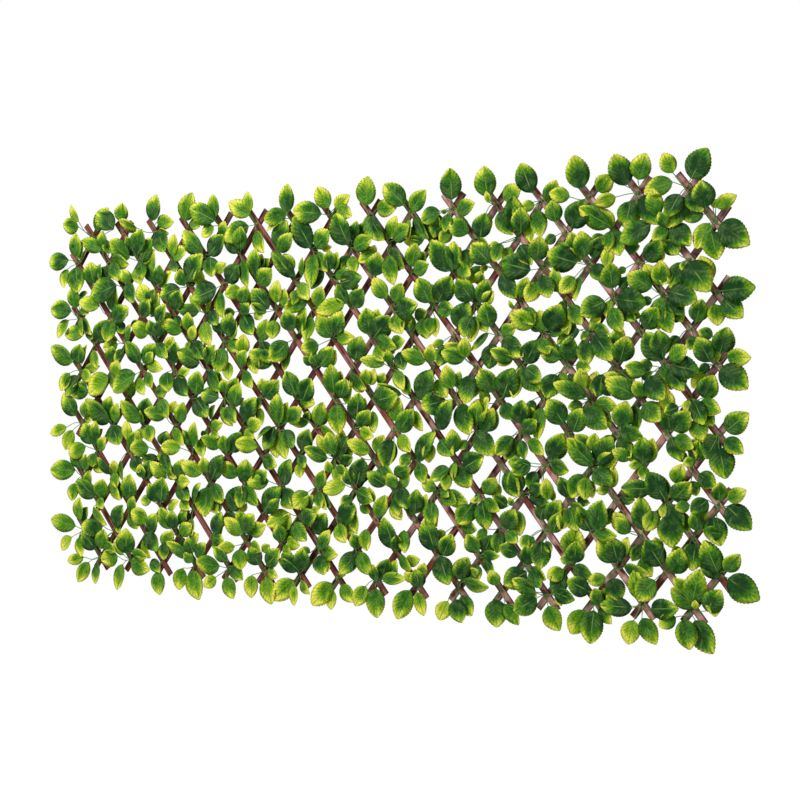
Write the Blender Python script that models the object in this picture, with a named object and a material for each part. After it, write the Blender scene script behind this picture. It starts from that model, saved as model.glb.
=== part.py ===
"""Expanding lattice trellis with an artificial leaf sprig on every crossing.

Two layers of flat wooden slats cross at a constant hole pitch. The front layer leans to the
left going up, the back layer leans to the right. Each front slat carries rivets, and every
rivet turns in a hole of the back slat that it crosses, so the whole panel folds like lazy
tongs. One moulded sprig of leaves sits over each crossing on the front slat. The rivets are
drawn with four facets each, because there are more than two hundred of them.

Frame: X is the panel's width, Z is up, and the panel faces -Y. The plane y = 0 is the wall
that the back slats lie against. The origin is on the back face of the middle back slat,
half way between two of its rivets, where a screw or a tie holds the panel. Each slat's
origin is on the axis of the rivet that it turns on.
Lengths are metres and angles are degrees unless a name says otherwise.
"""

import math
import random

import bmesh
import bpy
from mathutils import Matrix, Vector

# Lattice
HOLE_PITCH = 0.100
PANEL_COLUMNS = 32
PANEL_ROWS = 12
ORIGIN_COLUMN = (PANEL_COLUMNS - 1) / 2
ORIGIN_ROW = (PANEL_ROWS - 1) / 2
SLAT_LEAN = 37.6

# Slats
SLAT_WIDTH = 0.017
SLAT_THICKNESS = 0.005
SLAT_END = 0.045
LAYER_GAP = 0.0003

# Rivets
RIVET_RADIUS = 0.0016
RIVET_CLEARANCE = 0.0002
RIVET_RECESS = 0.0003
RIVET_SIDES = 4

# Sprigs
HUB_RADIUS = 0.0058
HUB_SEAT_GAP = 0.0003
HUB_CROWN = 0.0025
HUB_SINK = 0.0005
LEAF_FOLD = 0.0016
LARGE_LEAF_REACH = 0.088
LARGE_LEAF_HALF_WIDTH = 0.0195
SIDE_LEAF_REACH = 0.073
SIDE_LEAF_HALF_WIDTH = 0.0175
SMALL_LEAF_REACH = 0.048
SMALL_LEAF_HALF_WIDTH = 0.0095
SLAT_LEAF_REACH = 0.080
SLAT_LEAF_HALF_WIDTH = 0.0125

# Tip heights above the hub of the two kinds of sprig, which alternate from slat to slat so
# that the leaves of neighbouring slats pass in front of each other
LOW_TIP_RISE = 0.010
HIGH_TIP_RISE = 0.036
SLAT_LEAF_RISE = 0.001

# Bearings of the leaves round a hub, anticlockwise from +X as the panel is seen from the front
STANDING_BEARING = 85.0
LEFT_BEARING = 188.0
HANGING_BEARING = -108.0
RIGHT_BEARING = 22.0
SLAT_BEARING = -90.0 + SLAT_LEAN
END_LEAF_TURN = 10.0
SPRIG_TURN = 4.0

# Where along a leaf it is widest, as a share of its reach
WIDEST_SHARE = 0.54
SPRIG_VARIATION_SHARE = 0.06
FIFTH_LEAF_SHARE = 0.2

# One front slat in so many has its sprigs moulded onto it, and the others wear a separate
# strip of sprigs. The low sprigs are on one slat in so many, the moulded ones among them.
SPRIGGED_EVERY = 4
LOW_EVERY = 2

COLUMN_PITCH = HOLE_PITCH * math.sin(math.radians(SLAT_LEAN))
ROW_PITCH = HOLE_PITCH * math.cos(math.radians(SLAT_LEAN))
BACK_FACE = 0.0
BACK_LAYER_FRONT = BACK_FACE - SLAT_THICKNESS
FRONT_LAYER_BACK = BACK_LAYER_FRONT - LAYER_GAP
FRONT_FACE = FRONT_LAYER_BACK - SLAT_THICKNESS

WOOD_COLOUR = (0.17, 0.055, 0.04, 1.0)
WOOD_ROUGHNESS = 0.55
LEAF_COLOUR = (0.08, 0.20, 0.03, 1.0)
LEAF_ROUGHNESS = 0.45


def clear_scene():
    for item in list(bpy.data.objects):
        bpy.data.objects.remove(item, do_unlink=True)


def new_collection(name):
    group = bpy.data.collections.new(name)
    bpy.context.scene.collection.children.link(group)
    return group


def new_material(name, colour, roughness):
    material = bpy.data.materials.new(name)
    material.use_nodes = True
    shader = material.node_tree.nodes["Principled BSDF"]
    shader.inputs["Base Color"].default_value = colour
    shader.inputs["Roughness"].default_value = roughness
    shader.inputs["Metallic"].default_value = 0.0
    return material


def crossing_place(column, row):
    """X and Z of a lattice crossing."""
    across = (column - ORIGIN_COLUMN) * COLUMN_PITCH
    up = (ORIGIN_ROW - row) * ROW_PITCH
    return Vector((across, 0.0, up))


def crossings():
    """All crossings: odd columns on even rows, and even columns on odd rows."""
    places = []
    for column in range(PANEL_COLUMNS + 1):
        for row in range(PANEL_ROWS + 1):
            if (column + row) % 2 == 1:
                places.append((column, row))
    return places


def slats_by(rule):
    """Group the crossings into slats, each a list of crossings from its top end down."""
    slats = {}
    for column, row in crossings():
        slats.setdefault(rule(column, row), []).append((column, row))
    for members in slats.values():
        members.sort(key=lambda place: place[1])
    return slats


def front_count(column, row):
    """Number shared by the crossings of one front slat."""
    return column - row


def back_count(column, row):
    """Number shared by the crossings of one back slat."""
    return column + row


def mesh_object(name, shape, group, material=None):
    mesh = bpy.data.meshes.new(name)
    shape.to_mesh(mesh)
    shape.free()
    item = bpy.data.objects.new(name, mesh)
    if material is not None:
        item.data.materials.append(material)
    group.objects.link(item)
    return item


def slat_turn(lean):
    """Rotation that stands a slat drawn along +Z at its lean from the vertical."""
    return Matrix.Rotation(math.radians(lean), 4, "Y")


def nearest(members, rule, value):
    """The crossing of a slat that lies nearest to a slat of the other layer."""
    return min(members, key=lambda place: abs(rule(*place) - value))


def front_pivot(members):
    """A front slat turns on the back slat that it crosses nearest to the middle one."""
    return nearest(members, back_count, ORIGIN_COLUMN + ORIGIN_ROW)


def back_pivot(members):
    """A back slat turns on the front slat that it crosses nearest to the middle one."""
    return nearest(members, front_count, ORIGIN_COLUMN - ORIGIN_ROW - 1)


def hole_offsets(members, pivot):
    """Heights of a slat's rivets along its own length, from its pivot."""
    at_pivot = members.index(pivot)
    return [(at_pivot - index) * HOLE_PITCH for index in range(len(members))]


def rivet_outline(radius):
    """Corners of a rivet or hole; a hole's radius is the circle inside its flats."""
    step = 2.0 * math.pi / RIVET_SIDES
    return [
        (radius * math.cos(index * step), radius * math.sin(index * step))
        for index in range(RIVET_SIDES)
    ]


def hole_corner_radius():
    clear_radius = RIVET_RADIUS + RIVET_CLEARANCE
    return clear_radius / math.cos(math.pi / RIVET_SIDES)


def add_outline(curve, corners):
    spline = curve.splines.new("POLY")
    spline.points.add(len(corners) - 1)
    for point, (x, y) in zip(spline.points, corners):
        point.co = (x, y, 0.0, 1.0)
    spline.use_cyclic_u = True


def back_slat(name, members, pivot, group, material):
    """A slat with one hole for each rivet: a flat outline with inner outlines, extruded."""
    curve = bpy.data.curves.new(name, "CURVE")
    curve.dimensions = "2D"
    curve.fill_mode = "BOTH"
    curve.extrude = SLAT_THICKNESS / 2.0
    offsets = hole_offsets(members, pivot)
    top = offsets[0] + SLAT_END
    bottom = offsets[-1] - SLAT_END
    half_width = SLAT_WIDTH / 2.0
    add_outline(curve, [
        (-half_width, bottom),
        (half_width, bottom),
        (half_width, top),
        (-half_width, top),
    ])
    for offset in offsets:
        corners = rivet_outline(hole_corner_radius())
        add_outline(curve, [(x, offset + y) for x, y in corners])
    item = bpy.data.objects.new(name, curve)
    item.data.materials.append(material)
    group.objects.link(item)
    place = crossing_place(*pivot)
    place.y = (BACK_FACE + BACK_LAYER_FRONT) / 2.0
    stand_up = Matrix.Rotation(math.radians(90.0), 4, "X")
    item.matrix_world = Matrix.Translation(place) @ slat_turn(SLAT_LEAN) @ stand_up
    return item


def rivet_row(name, members, pivot, guides):
    """The rivets of one front slat as one guide body, from inside the slat to the back."""
    shape = bmesh.new()
    inside_slat = FRONT_LAYER_BACK - SLAT_THICKNESS / 2.0
    tail = BACK_FACE - RIVET_RECESS
    for offset in hole_offsets(members, pivot):
        rivet = bmesh.ops.create_cone(
            shape, cap_ends=True, segments=RIVET_SIDES,
            radius1=RIVET_RADIUS, radius2=RIVET_RADIUS, depth=tail - inside_slat)
        lie_along_y = Matrix.Rotation(math.radians(90.0), 4, "X")
        place = Matrix.Translation((0.0, (inside_slat + tail) / 2.0, offset))
        bmesh.ops.transform(shape, matrix=place @ lie_along_y, verts=rivet["verts"])
    item = mesh_object(name, shape, guides)
    item.matrix_world = Matrix.Translation(crossing_place(*pivot)) @ slat_turn(-SLAT_LEAN)
    return item


def join_to(item, guide):
    guide.hide_render = True
    guide.display_type = "WIRE"
    union = item.modifiers.new("join_" + guide.name, "BOOLEAN")
    union.operation = "UNION"
    union.object = guide
    union.solver = "EXACT"


def front_slat(name, members, pivot, group, guides, material):
    """A plain slat with its rivets, which stand out of its back face."""
    offsets = hole_offsets(members, pivot)
    length = offsets[0] - offsets[-1] + 2.0 * SLAT_END
    middle = (offsets[0] + offsets[-1]) / 2.0
    shape = bmesh.new()
    bmesh.ops.create_cube(shape, size=1.0)
    size = Matrix.Diagonal((SLAT_WIDTH, SLAT_THICKNESS, length, 1.0))
    layer = Matrix.Translation((0.0, (FRONT_FACE + FRONT_LAYER_BACK) / 2.0, middle))
    bmesh.ops.transform(shape, matrix=layer @ size, verts=shape.verts)
    item = mesh_object(name, shape, group, material)
    item.matrix_world = Matrix.Translation(crossing_place(*pivot)) @ slat_turn(-SLAT_LEAN)
    join_to(item, rivet_row("rivets_of_" + name, members, pivot, guides))
    return item


class Leaf:
    """One leaf of a sprig: its bearing from +X towards +Z, reach, half width and tip rise."""

    def __init__(self, bearing, reach, half_width, rise):
        self.bearing = bearing
        self.reach = reach
        self.half_width = half_width
        self.rise = rise


def sprig_leaves(chance, tip_rise, is_top, linked_below):
    """The leaves of one sprig, with a little spread in bearing and size.

    A sprig has a large leaf that stands up, one to the left, one hanging down and one along
    the slat to the lower right, and some have a fifth small one to the right. Where the next
    sprig of the same piece follows, the leaf along the slat reaches its hub, and a top sprig
    has a small leaf along the slat's free end.
    """

    def vary(value):
        return value * (1.0 + chance.uniform(-SPRIG_VARIATION_SHARE, SPRIG_VARIATION_SHARE))

    def turned(bearing):
        return bearing + chance.uniform(-SPRIG_TURN, SPRIG_TURN)

    def rise_of(reach):
        return tip_rise * reach / LARGE_LEAF_REACH

    leaves = [
        Leaf(turned(STANDING_BEARING), vary(LARGE_LEAF_REACH),
             vary(LARGE_LEAF_HALF_WIDTH), tip_rise),
        Leaf(turned(LEFT_BEARING), vary(SIDE_LEAF_REACH),
             vary(SIDE_LEAF_HALF_WIDTH), rise_of(SIDE_LEAF_REACH)),
        Leaf(turned(HANGING_BEARING), vary(SIDE_LEAF_REACH),
             vary(SIDE_LEAF_HALF_WIDTH), rise_of(SIDE_LEAF_REACH)),
    ]
    if chance.random() < FIFTH_LEAF_SHARE:
        leaves.append(Leaf(turned(RIGHT_BEARING), vary(SMALL_LEAF_REACH),
                           vary(SMALL_LEAF_HALF_WIDTH), rise_of(SMALL_LEAF_REACH)))
    if not linked_below:
        leaves.append(Leaf(SLAT_BEARING, SLAT_LEAF_REACH, SLAT_LEAF_HALF_WIDTH,
                           SLAT_LEAF_RISE))
    if is_top:
        leaves.append(Leaf(SLAT_BEARING + END_LEAF_TURN + 180.0, SMALL_LEAF_REACH,
                           SMALL_LEAF_HALF_WIDTH, SLAT_LEAF_RISE))
    return leaves


def polar(bearing, radius):
    angle = math.radians(bearing)
    return Vector((radius * math.cos(angle), 0.0, radius * math.sin(angle)))


class Sprig:
    """A star of leaves round a hub: one solid whose front and back share their outline."""

    def __init__(self, shape, centre, leaves, slat_sides, foot=0.0):
        self.shape = shape
        self.centre = centre
        self.seat = FRONT_FACE - HUB_SEAT_GAP
        self.foot = foot
        self.leaves = {leaf.bearing % 360.0: leaf for leaf in leaves}
        self.bearings = sorted(list(self.leaves) + [side % 360.0 for side in slat_sides])
        self.crown = self.vertex(Vector(), HUB_CROWN)
        self.corners = [self.corner(index) for index in range(len(self.bearings))]
        self.build()

    def vertex(self, offset, rise):
        """A vertex at an offset in the panel's plane and a height in front of the seat."""
        place = self.centre + offset
        return self.shape.verts.new((place.x, self.seat - rise, place.z))

    def corner(self, index):
        """The hub's corner on the clockwise side of a leaf, half way to the leaf before."""
        before = self.bearings[index - 1]
        between = (self.bearings[index] - before) % 360.0
        return self.vertex(polar(before + between / 2.0, HUB_RADIUS), 0.0)

    def side(self, bearing):
        """The two hub corners beside a bearing, the clockwise one first."""
        index = self.bearings.index(bearing % 360.0)
        return self.corners[index], self.corners[(index + 1) % len(self.corners)]

    def build(self):
        back = self.shape.faces.new(list(reversed(self.corners)))
        for bearing, leaf in self.leaves.items():
            self.add_leaf(bearing, leaf)
        if self.foot:
            stem = bmesh.ops.extrude_discrete_faces(self.shape, faces=[back])
            for vertex in stem["faces"][0].verts:
                vertex.co.y += self.foot

    def add_leaf(self, bearing, leaf):
        first, second = self.side(bearing)
        tip = self.vertex(polar(bearing, leaf.reach), HUB_CROWN + leaf.rise)
        along = polar(bearing, leaf.reach * WIDEST_SHARE)
        across = polar(bearing + 90.0, leaf.half_width)
        rise = HUB_CROWN + leaf.rise * WIDEST_SHARE - LEAF_FOLD
        clockwise = self.vertex(along - across, rise)
        anticlockwise = self.vertex(along + across, rise)
        for corners in (
            (self.crown, first, clockwise),
            (self.crown, clockwise, tip),
            (self.crown, tip, anticlockwise),
            (self.crown, anticlockwise, second),
            (first, second, anticlockwise),
            (first, anticlockwise, clockwise),
            (clockwise, anticlockwise, tip),
        ):
            self.shape.faces.new(corners)


def link_sprigs(upper, lower):
    """The leaf along the slat from one sprig's hub to the next, its ridge from crown to crown."""
    first, second = upper.side(SLAT_BEARING)
    far_second, far_first = lower.side(SLAT_BEARING + 180.0)
    along = (lower.centre - upper.centre) / 2.0
    across = polar(SLAT_BEARING + 90.0, SLAT_LEAF_HALF_WIDTH)
    rise = HUB_CROWN - LEAF_FOLD
    clockwise = upper.vertex(along - across, rise)
    anticlockwise = upper.vertex(along + across, rise)
    for corners in (
        (upper.crown, first, clockwise),
        (upper.crown, clockwise, lower.crown),
        (lower.crown, clockwise, far_first),
        (upper.crown, lower.crown, anticlockwise),
        (lower.crown, far_second, anticlockwise),
        (upper.crown, anticlockwise, second),
        (first, second, anticlockwise),
        (first, anticlockwise, clockwise),
        (clockwise, anticlockwise, far_second),
        (clockwise, far_second, far_first),
    ):
        upper.shape.faces.new(corners)


def place_on_slat(item, pivot, slat_object):
    """Puts what was drawn from a slat's pivot there, upright, and makes it the slat's child."""
    item.matrix_world = Matrix.Translation(crossing_place(*pivot))
    kept_place = item.matrix_world.copy()
    item.parent = slat_object
    item.matrix_parent_inverse = slat_object.matrix_world.inverted()
    item.matrix_basis = kept_place


def sprig_strip(name, count, members, pivot, slat_object, group, material):
    """The sprigs of one front slat, joined where each one's slat leaf reaches the next hub."""
    chance = random.Random(count)
    tip_rise = LOW_TIP_RISE if count % LOW_EVERY == 0 else HIGH_TIP_RISE
    shape = bmesh.new()
    previous = None
    for index, place in enumerate(members):
        is_top = index == 0
        linked_below = index < len(members) - 1
        leaves = sprig_leaves(chance, tip_rise, is_top, linked_below)
        slat_sides = []
        if not is_top:
            slat_sides.append(SLAT_BEARING + 180.0)
        if linked_below:
            slat_sides.append(SLAT_BEARING)
        centre = crossing_place(*place) - crossing_place(*pivot)
        sprig = Sprig(shape, centre, leaves, slat_sides)
        if previous is not None:
            link_sprigs(previous, sprig)
        previous = sprig
    item = mesh_object(name, shape, group, material)
    place_on_slat(item, pivot, slat_object)


def fuse_sprigs(count, members, pivot, slat_object, guides, material):
    """Sprigs moulded onto their slat, each on a short foot sunk into the front face."""
    chance = random.Random(count)
    shape = bmesh.new()
    for index, place in enumerate(members):
        leaves = sprig_leaves(chance, LOW_TIP_RISE, index == 0, False)
        centre = crossing_place(*place) - crossing_place(*pivot)
        Sprig(shape, centre, leaves, [], HUB_SEAT_GAP + HUB_SINK)
    guide = mesh_object("sprigs_of_" + slat_object.name, shape, guides, material)
    place_on_slat(guide, pivot, slat_object)
    join_to(slat_object, guide)


def build():
    clear_scene()
    trellis = new_collection("expanding_leaf_trellis")
    guides = new_collection("guides")
    wood = new_material("stained_wood", WOOD_COLOUR, WOOD_ROUGHNESS)
    leaf = new_material("leaf_plastic", LEAF_COLOUR, LEAF_ROUGHNESS)

    backs = slats_by(back_count)
    for index, key in enumerate(sorted(backs)):
        members = backs[key]
        name = "back_slat_%02d" % (index + 1)
        back_slat(name, members, back_pivot(members), trellis, wood)

    fronts = slats_by(front_count)
    for index, key in enumerate(sorted(fronts)):
        members = fronts[key]
        pivot = front_pivot(members)
        name = "front_slat_%02d" % (index + 1)
        item = front_slat(name, members, pivot, trellis, guides, wood)
        if index % SPRIGGED_EVERY == 0:
            fuse_sprigs(index, members, pivot, item, guides, leaf)
        else:
            strip_name = "leaf_sprigs_%02d" % (index + 1)
            sprig_strip(strip_name, index, members, pivot, item, trellis, leaf)


build()
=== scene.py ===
"""Looks of the expanding trellis: bevelled boards, rivets, and sprigs of variegated leaves.

The panel stands in X and Z and its leaves face -Y. A crossing of the lattice is named by its
half-step column from the left and half-step row from the top. Lengths are metres and angles
are degrees, unless a name says otherwise. A share is a part of the size that it goes with.
"""

import math
import random

import bmesh
import bpy
import numpy as np
from mathutils import Matrix, Vector


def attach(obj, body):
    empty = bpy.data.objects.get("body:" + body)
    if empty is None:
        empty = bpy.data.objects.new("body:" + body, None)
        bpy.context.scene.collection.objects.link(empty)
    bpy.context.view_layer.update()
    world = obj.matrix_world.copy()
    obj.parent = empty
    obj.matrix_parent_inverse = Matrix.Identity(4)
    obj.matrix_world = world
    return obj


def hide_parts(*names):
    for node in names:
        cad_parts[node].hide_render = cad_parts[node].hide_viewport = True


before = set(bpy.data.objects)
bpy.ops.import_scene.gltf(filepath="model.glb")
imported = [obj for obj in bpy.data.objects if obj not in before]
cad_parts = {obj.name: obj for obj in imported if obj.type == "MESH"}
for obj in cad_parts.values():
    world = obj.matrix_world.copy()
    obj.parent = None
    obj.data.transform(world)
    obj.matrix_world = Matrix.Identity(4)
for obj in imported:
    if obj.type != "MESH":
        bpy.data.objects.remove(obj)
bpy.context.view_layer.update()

# Lattice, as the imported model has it
HOLE_PITCH = 0.100
COLUMNS, ROWS = 32, 12
SLAT_LEAN = 37.6
SLAT_WIDTH, SLAT_THICKNESS, SLAT_END = 0.017, 0.005, 0.045
LAYER_GAP = 0.0003
COLUMN_PITCH = HOLE_PITCH * math.sin(math.radians(SLAT_LEAN))
ROW_PITCH = HOLE_PITCH * math.cos(math.radians(SLAT_LEAN))
BACK_LAYER_FRONT = -SLAT_THICKNESS
FRONT_LAYER_BACK = BACK_LAYER_FRONT - LAYER_GAP
FRONT_FACE = FRONT_LAYER_BACK - SLAT_THICKNESS
OUTWARD = Vector((0.0, -1.0, 0.0))
SIDEWAYS = Vector((1.0, 0.0, 0.0))

# Boards
EDGE_ROUND, EDGE_SEGMENTS = 0.0007, 2
SHARP_ANGLE = 50.0
GRAIN_STEP = 1.7
FRONT_GRAIN_START = 40

# Rivets
HEAD_RADIUS, HEAD_RISE = 0.0032, 0.0011
TAIL_RADIUS, TAIL_RISE = 0.0028, 0.0006
RIVET_SEGMENTS, RIVET_RINGS = 12, 6

# Leaf blades. The powers shape the base and the tip, and the factor makes the widest share 1.
LEAF_STEPS = 24
LEAF_COLUMNS = (-1.0, -0.5, 0.0, 0.5, 1.0)
LEAF_THICKNESS = 0.0009
OUTLINE_FACTOR, BASE_POWER, TIP_POWER = 2.7655, 0.66, 0.82
TOOTH_SHARE, NOTCH_SHARE, TOOTH_LEAN_SHARE = 0.034, 0.0204, 0.35
CREASE_POWER, CUP_POWER = 1.3, 0.5
CUP_SHARES = 0.05, 0.15
BEND_SHARES = -0.02, 0.05
TONE_SPREAD = 0.04

# Stems, and the hub that they leave. A stem sways aside most near its hub.
STEM_RADIUS, STEM_SIDES, STEM_STEPS = 0.0011, 5, 6
STEM_RISE = 0.003
STEM_SWAY_SHARE, SWAY_START = 0.22, 1.3
STEM_ON_BLADE_SHARE = 0.06
LEAST_SIDE = 0.2
SEED_STEP = 100
HUB_RADIUS, HUB_RISE, HUB_STAND = 0.0042, 0.0026, 0.0012
HUB_SEGMENTS, HUB_RINGS = 8, 5

# Camera, solved from the crossings that the photograph shows
CAMERA_PLACE = Vector((1.9767, -2.964, 0.0752))
CAMERA_RIGHT = Vector((0.8535, 0.5208, -0.0170))
CAMERA_UP = Vector((-0.0034, 0.0382, 0.9993))
CAMERA_BACK = Vector((0.5211, -0.8528, 0.0344))
FOCAL_PIXELS, PICTURE_PIXELS = 1350.0, 800.0
SENSOR_MILLIMETRES = 36.0


def crossing_place(column, row):
    across = (column - (COLUMNS - 1) / 2) * COLUMN_PITCH
    up = ((ROWS - 1) / 2 - row) * ROW_PITCH
    return Vector((across, 0.0, up))


def slats_by(rule):
    """The crossings of each slat of a layer, where a rule gives one number for each slat."""
    slats = {}
    for row in range(ROWS + 1):
        for column in range(COLUMNS + 1):
            if (column + row) % 2:
                slats.setdefault(rule(column, row), []).append((column, row))
    return [slats[key] for key in sorted(slats)]


FRONT_SLATS = slats_by(lambda column, row: column - row)
BACK_SLATS = slats_by(lambda column, row: column + row)


# Shader nodes

def link(tree, source, target):
    tree.links.new(source, target)


def math_node(tree, operation, *values):
    """The result of a Math node whose values are numbers or sockets."""
    node = tree.nodes.new("ShaderNodeMath")
    node.operation = operation
    for socket, value in zip(node.inputs, values):
        if isinstance(value, float):
            socket.default_value = value
        else:
            link(tree, value, socket)
    return node.outputs[0]


def times(tree, first, second):
    return math_node(tree, "MULTIPLY", first, second)


def times_plus(tree, value, factor, addend):
    return math_node(tree, "MULTIPLY_ADD", value, factor, addend)


def one_minus(tree, value):
    return math_node(tree, "SUBTRACT", 1.0, value)


def about_zero(tree, value):
    """A noise, which lies about a half, moved to lie about 0."""
    return math_node(tree, "SUBTRACT", value, 0.5)


def ramp(tree, value, low, high):
    """0 below low and 1 above high, smoothly."""
    node = tree.nodes.new("ShaderNodeMapRange")
    node.interpolation_type = "SMOOTHSTEP"
    link(tree, value, node.inputs["Value"])
    node.inputs["From Min"].default_value = low
    node.inputs["From Max"].default_value = high
    return node.outputs["Result"]


def fall(tree, value, low, high):
    """1 below low and 0 above high, smoothly."""
    return ramp(tree, times(tree, value, -1.0), -high, -low)


def mix_colour(tree, factor, first, second):
    """The first colour at a factor of 0 and the second at 1. Each is a colour or a socket."""
    node = tree.nodes.new("ShaderNodeMix")
    node.data_type = "RGBA"
    for name, value in (("Factor", factor), ("A", first), ("B", second)):
        socket = next(s for s in node.inputs if s.name == name and s.enabled)
        if isinstance(value, tuple):
            socket.default_value = value
        else:
            link(tree, value, socket)
    return next(s for s in node.outputs if s.enabled)


def noise(tree, vector, scale, detail, roughness):
    node = tree.nodes.new("ShaderNodeTexNoise")
    node.inputs["Scale"].default_value = scale
    node.inputs["Detail"].default_value = detail
    node.inputs["Roughness"].default_value = roughness
    link(tree, vector, node.inputs["Vector"])
    return node.outputs["Fac"]


def object_place(tree):
    return tree.nodes.new("ShaderNodeTexCoord").outputs["Object"]


def point_attribute(tree, name):
    """A vector that the mesh keeps at its points."""
    node = tree.nodes.new("ShaderNodeAttribute")
    node.attribute_name = name
    return node.outputs["Vector"]


def split(tree, vector):
    """The sockets X, Y and Z of a vector."""
    node = tree.nodes.new("ShaderNodeSeparateXYZ")
    link(tree, vector, node.inputs["Vector"])
    return node.outputs


def scaled(tree, vector, scale):
    node = tree.nodes.new("ShaderNodeMapping")
    node.inputs["Scale"].default_value = scale
    link(tree, vector, node.inputs["Vector"])
    return node.outputs["Vector"]


def bump(tree, shader, height, distance, strength):
    node = tree.nodes.new("ShaderNodeBump")
    node.inputs["Distance"].default_value = distance
    node.inputs["Strength"].default_value = strength
    link(tree, height, node.inputs["Height"])
    link(tree, node.outputs["Normal"], shader.inputs["Normal"])


def new_material(name):
    material = bpy.data.materials.new(name)
    material.use_nodes = True
    shader = material.node_tree.nodes["Principled BSDF"]
    return material, material.node_tree, shader


# A noise below is its scale, detail and roughness, and a range is what a ramp runs between

# Wood. Pale patches of painted sheen start at a part of the layer's sheen share and gain towards the
# right end.
GRAIN_STRETCH = (1.0, 1.0, 0.03)
GRAIN_NOISE, BROAD_NOISE, SHEEN_PATCH_NOISE = (430.0, 4.0, 0.6), (190.0, 3.0, 0.5), (22.0, 2.0, 0.5)
RIGHT_RANGE, SHEEN_PATCH_RANGE = (-0.30, 0.80), (0.44, 0.64)
SHEEN_AT_LEFT, SHEEN_GAIN_TO_RIGHT, SHEEN_PATCH_GAIN = 0.2, 1.5, 0.04
LIGHT_GRAIN_RANGE, DARK_GRAIN_RANGE, DARK_GRAIN_STRENGTH = (0.36, 0.62), (0.50, 0.66), 0.75
# Painted shade darkens each board towards its edges
BOARD_EDGE_SHADE = (0.030, 0.006, 0.005, 1.0)
EDGE_SHADE_RANGE, EDGE_SHADE_STRENGTH = (SLAT_WIDTH * 0.34, SLAT_WIDTH * 0.47), 0.85
WOOD_ROUGHNESS_SPREAD, WOOD_ROUGHNESS = 0.25, 0.38
WOOD_SPECULAR, WOOD_BUMP, WOOD_BUMP_STRENGTH = 0.10, 0.0004, 0.35


def wood_material(name, dark, light, painted_sheen, sheen_share):
    """Red-brown stained wood with dark grain, with pale patches of painted sheen and painted shade
    along its edges.

    The attribute board holds a point's place across, through and along its board in metres.
    Boards get painted sheen by sheen_share, and more of it towards the right end of the panel.
    """
    material, tree, shader = new_material(name)
    place = point_attribute(tree, "board")
    stretched = scaled(tree, place, GRAIN_STRETCH)
    fine = noise(tree, stretched, *GRAIN_NOISE)
    broad = noise(tree, stretched, *BROAD_NOISE)
    # Painted sheen: pale patches, stronger towards the right end, stand in for light on the boards
    right = ramp(tree, split(tree, object_place(tree))["X"], *RIGHT_RANGE)
    sheen_patch = times_plus(tree, right, SHEEN_PATCH_GAIN, noise(tree, place, *SHEEN_PATCH_NOISE))
    bright_patches = times_plus(tree, right, sheen_share * SHEEN_GAIN_TO_RIGHT, sheen_share * SHEEN_AT_LEFT)
    bright_patches = times(tree, ramp(tree, sheen_patch, *SHEEN_PATCH_RANGE), bright_patches)
    grain = times(tree, ramp(tree, fine, *DARK_GRAIN_RANGE), DARK_GRAIN_STRENGTH)
    across = math_node(tree, "ABSOLUTE", split(tree, place)["X"])
    # Painted shade along the board's edges
    edge_shade = times(tree, ramp(tree, across, *EDGE_SHADE_RANGE), EDGE_SHADE_STRENGTH)
    body = mix_colour(tree, ramp(tree, broad, *LIGHT_GRAIN_RANGE), dark, light)
    body = mix_colour(tree, bright_patches, body, painted_sheen)
    body = mix_colour(tree, grain, body, dark)
    body = mix_colour(tree, edge_shade, body, BOARD_EDGE_SHADE)
    link(tree, body, shader.inputs["Base Color"])
    rough = times_plus(tree, fine, WOOD_ROUGHNESS_SPREAD, WOOD_ROUGHNESS)
    link(tree, rough, shader.inputs["Roughness"])
    shader.inputs["Specular IOR Level"].default_value = WOOD_SPECULAR
    bump(tree, shader, fine, WOOD_BUMP, WOOD_BUMP_STRENGTH)
    return material


# Leaf. Colours go from dark to yellow as a point's paleness goes from 0 to 1.
LEAF_COLOURS = ((0.006, 0.035, 0.008, 1.0), (0.038, 0.155, 0.006, 1.0),
                (0.225, 0.380, 0.006, 1.0), (0.740, 0.730, 0.075, 1.0))
COLOUR_RANGES = ((0.02, 0.34), (0.28, 0.62), (0.52, 1.00))
NET_COLOUR, NET_STRENGTH = (0.012, 0.050, 0.007, 1.0), 0.32
NET_RANGE, NET_SCALE = (0.02, 0.16), 330.0
VEIN_COLOUR, VEIN_STRENGTH, VEIN_RANGE = (0.014, 0.060, 0.008, 1.0), 0.42, (0.45, 1.0)
VEIN_SLANT, VEIN_WANDER, VEIN_WAVES = -0.32, 0.10, 46.0
GROOVE_STRENGTH, GROOVE_RANGE = 0.62, (0.025, 0.110)
RIB_COLOUR, RIB_STRENGTH, RIB_RANGE = (0.20, 0.36, 0.06, 1.0), 0.55, (0.015, 0.070)
RIB_LEAVES_RANGE = (0.42, 0.56)
SHEEN_COLOUR, SHEEN_RANGE = (0.34, 0.52, 0.15, 1.0), (0.42, 0.62)
TISSUE_SHEEN, PLAIN_SHEEN = 0.09, 0.06
TISSUE_ACROSS_RANGE, TISSUE_WAVE_RANGE = (0.08, 0.30), (-1.0, 0.2)
MARGIN_RANGE, MARGIN_ALONG_RANGE, MARGIN_TIP, MARGIN_BASE = (0.38, 1.12), (0.15, 0.85), 0.75, 0.25
TIP_RANGE = (0.42, 1.06)
RIM_PALENESS, TONE_PALENESS, LEAST_PALENESS, BLOTCH_PALENESS = 0.74, 0.80, -0.14, 0.7
RIM_DRIFT, MIDDLE_DRIFT = 1.5, 0.5
BLOTCH_NOISE, FINE_NOISE, SHEEN_NOISE = (170.0, 4.0, 0.65), (700.0, 3.0, 0.6), (55.0, 2.0, 0.5)
SIDE_NOISE, SIDE_STRETCH = (1.5, 1.0, 0.5), (0.7, 1.0, 61.0)
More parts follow.
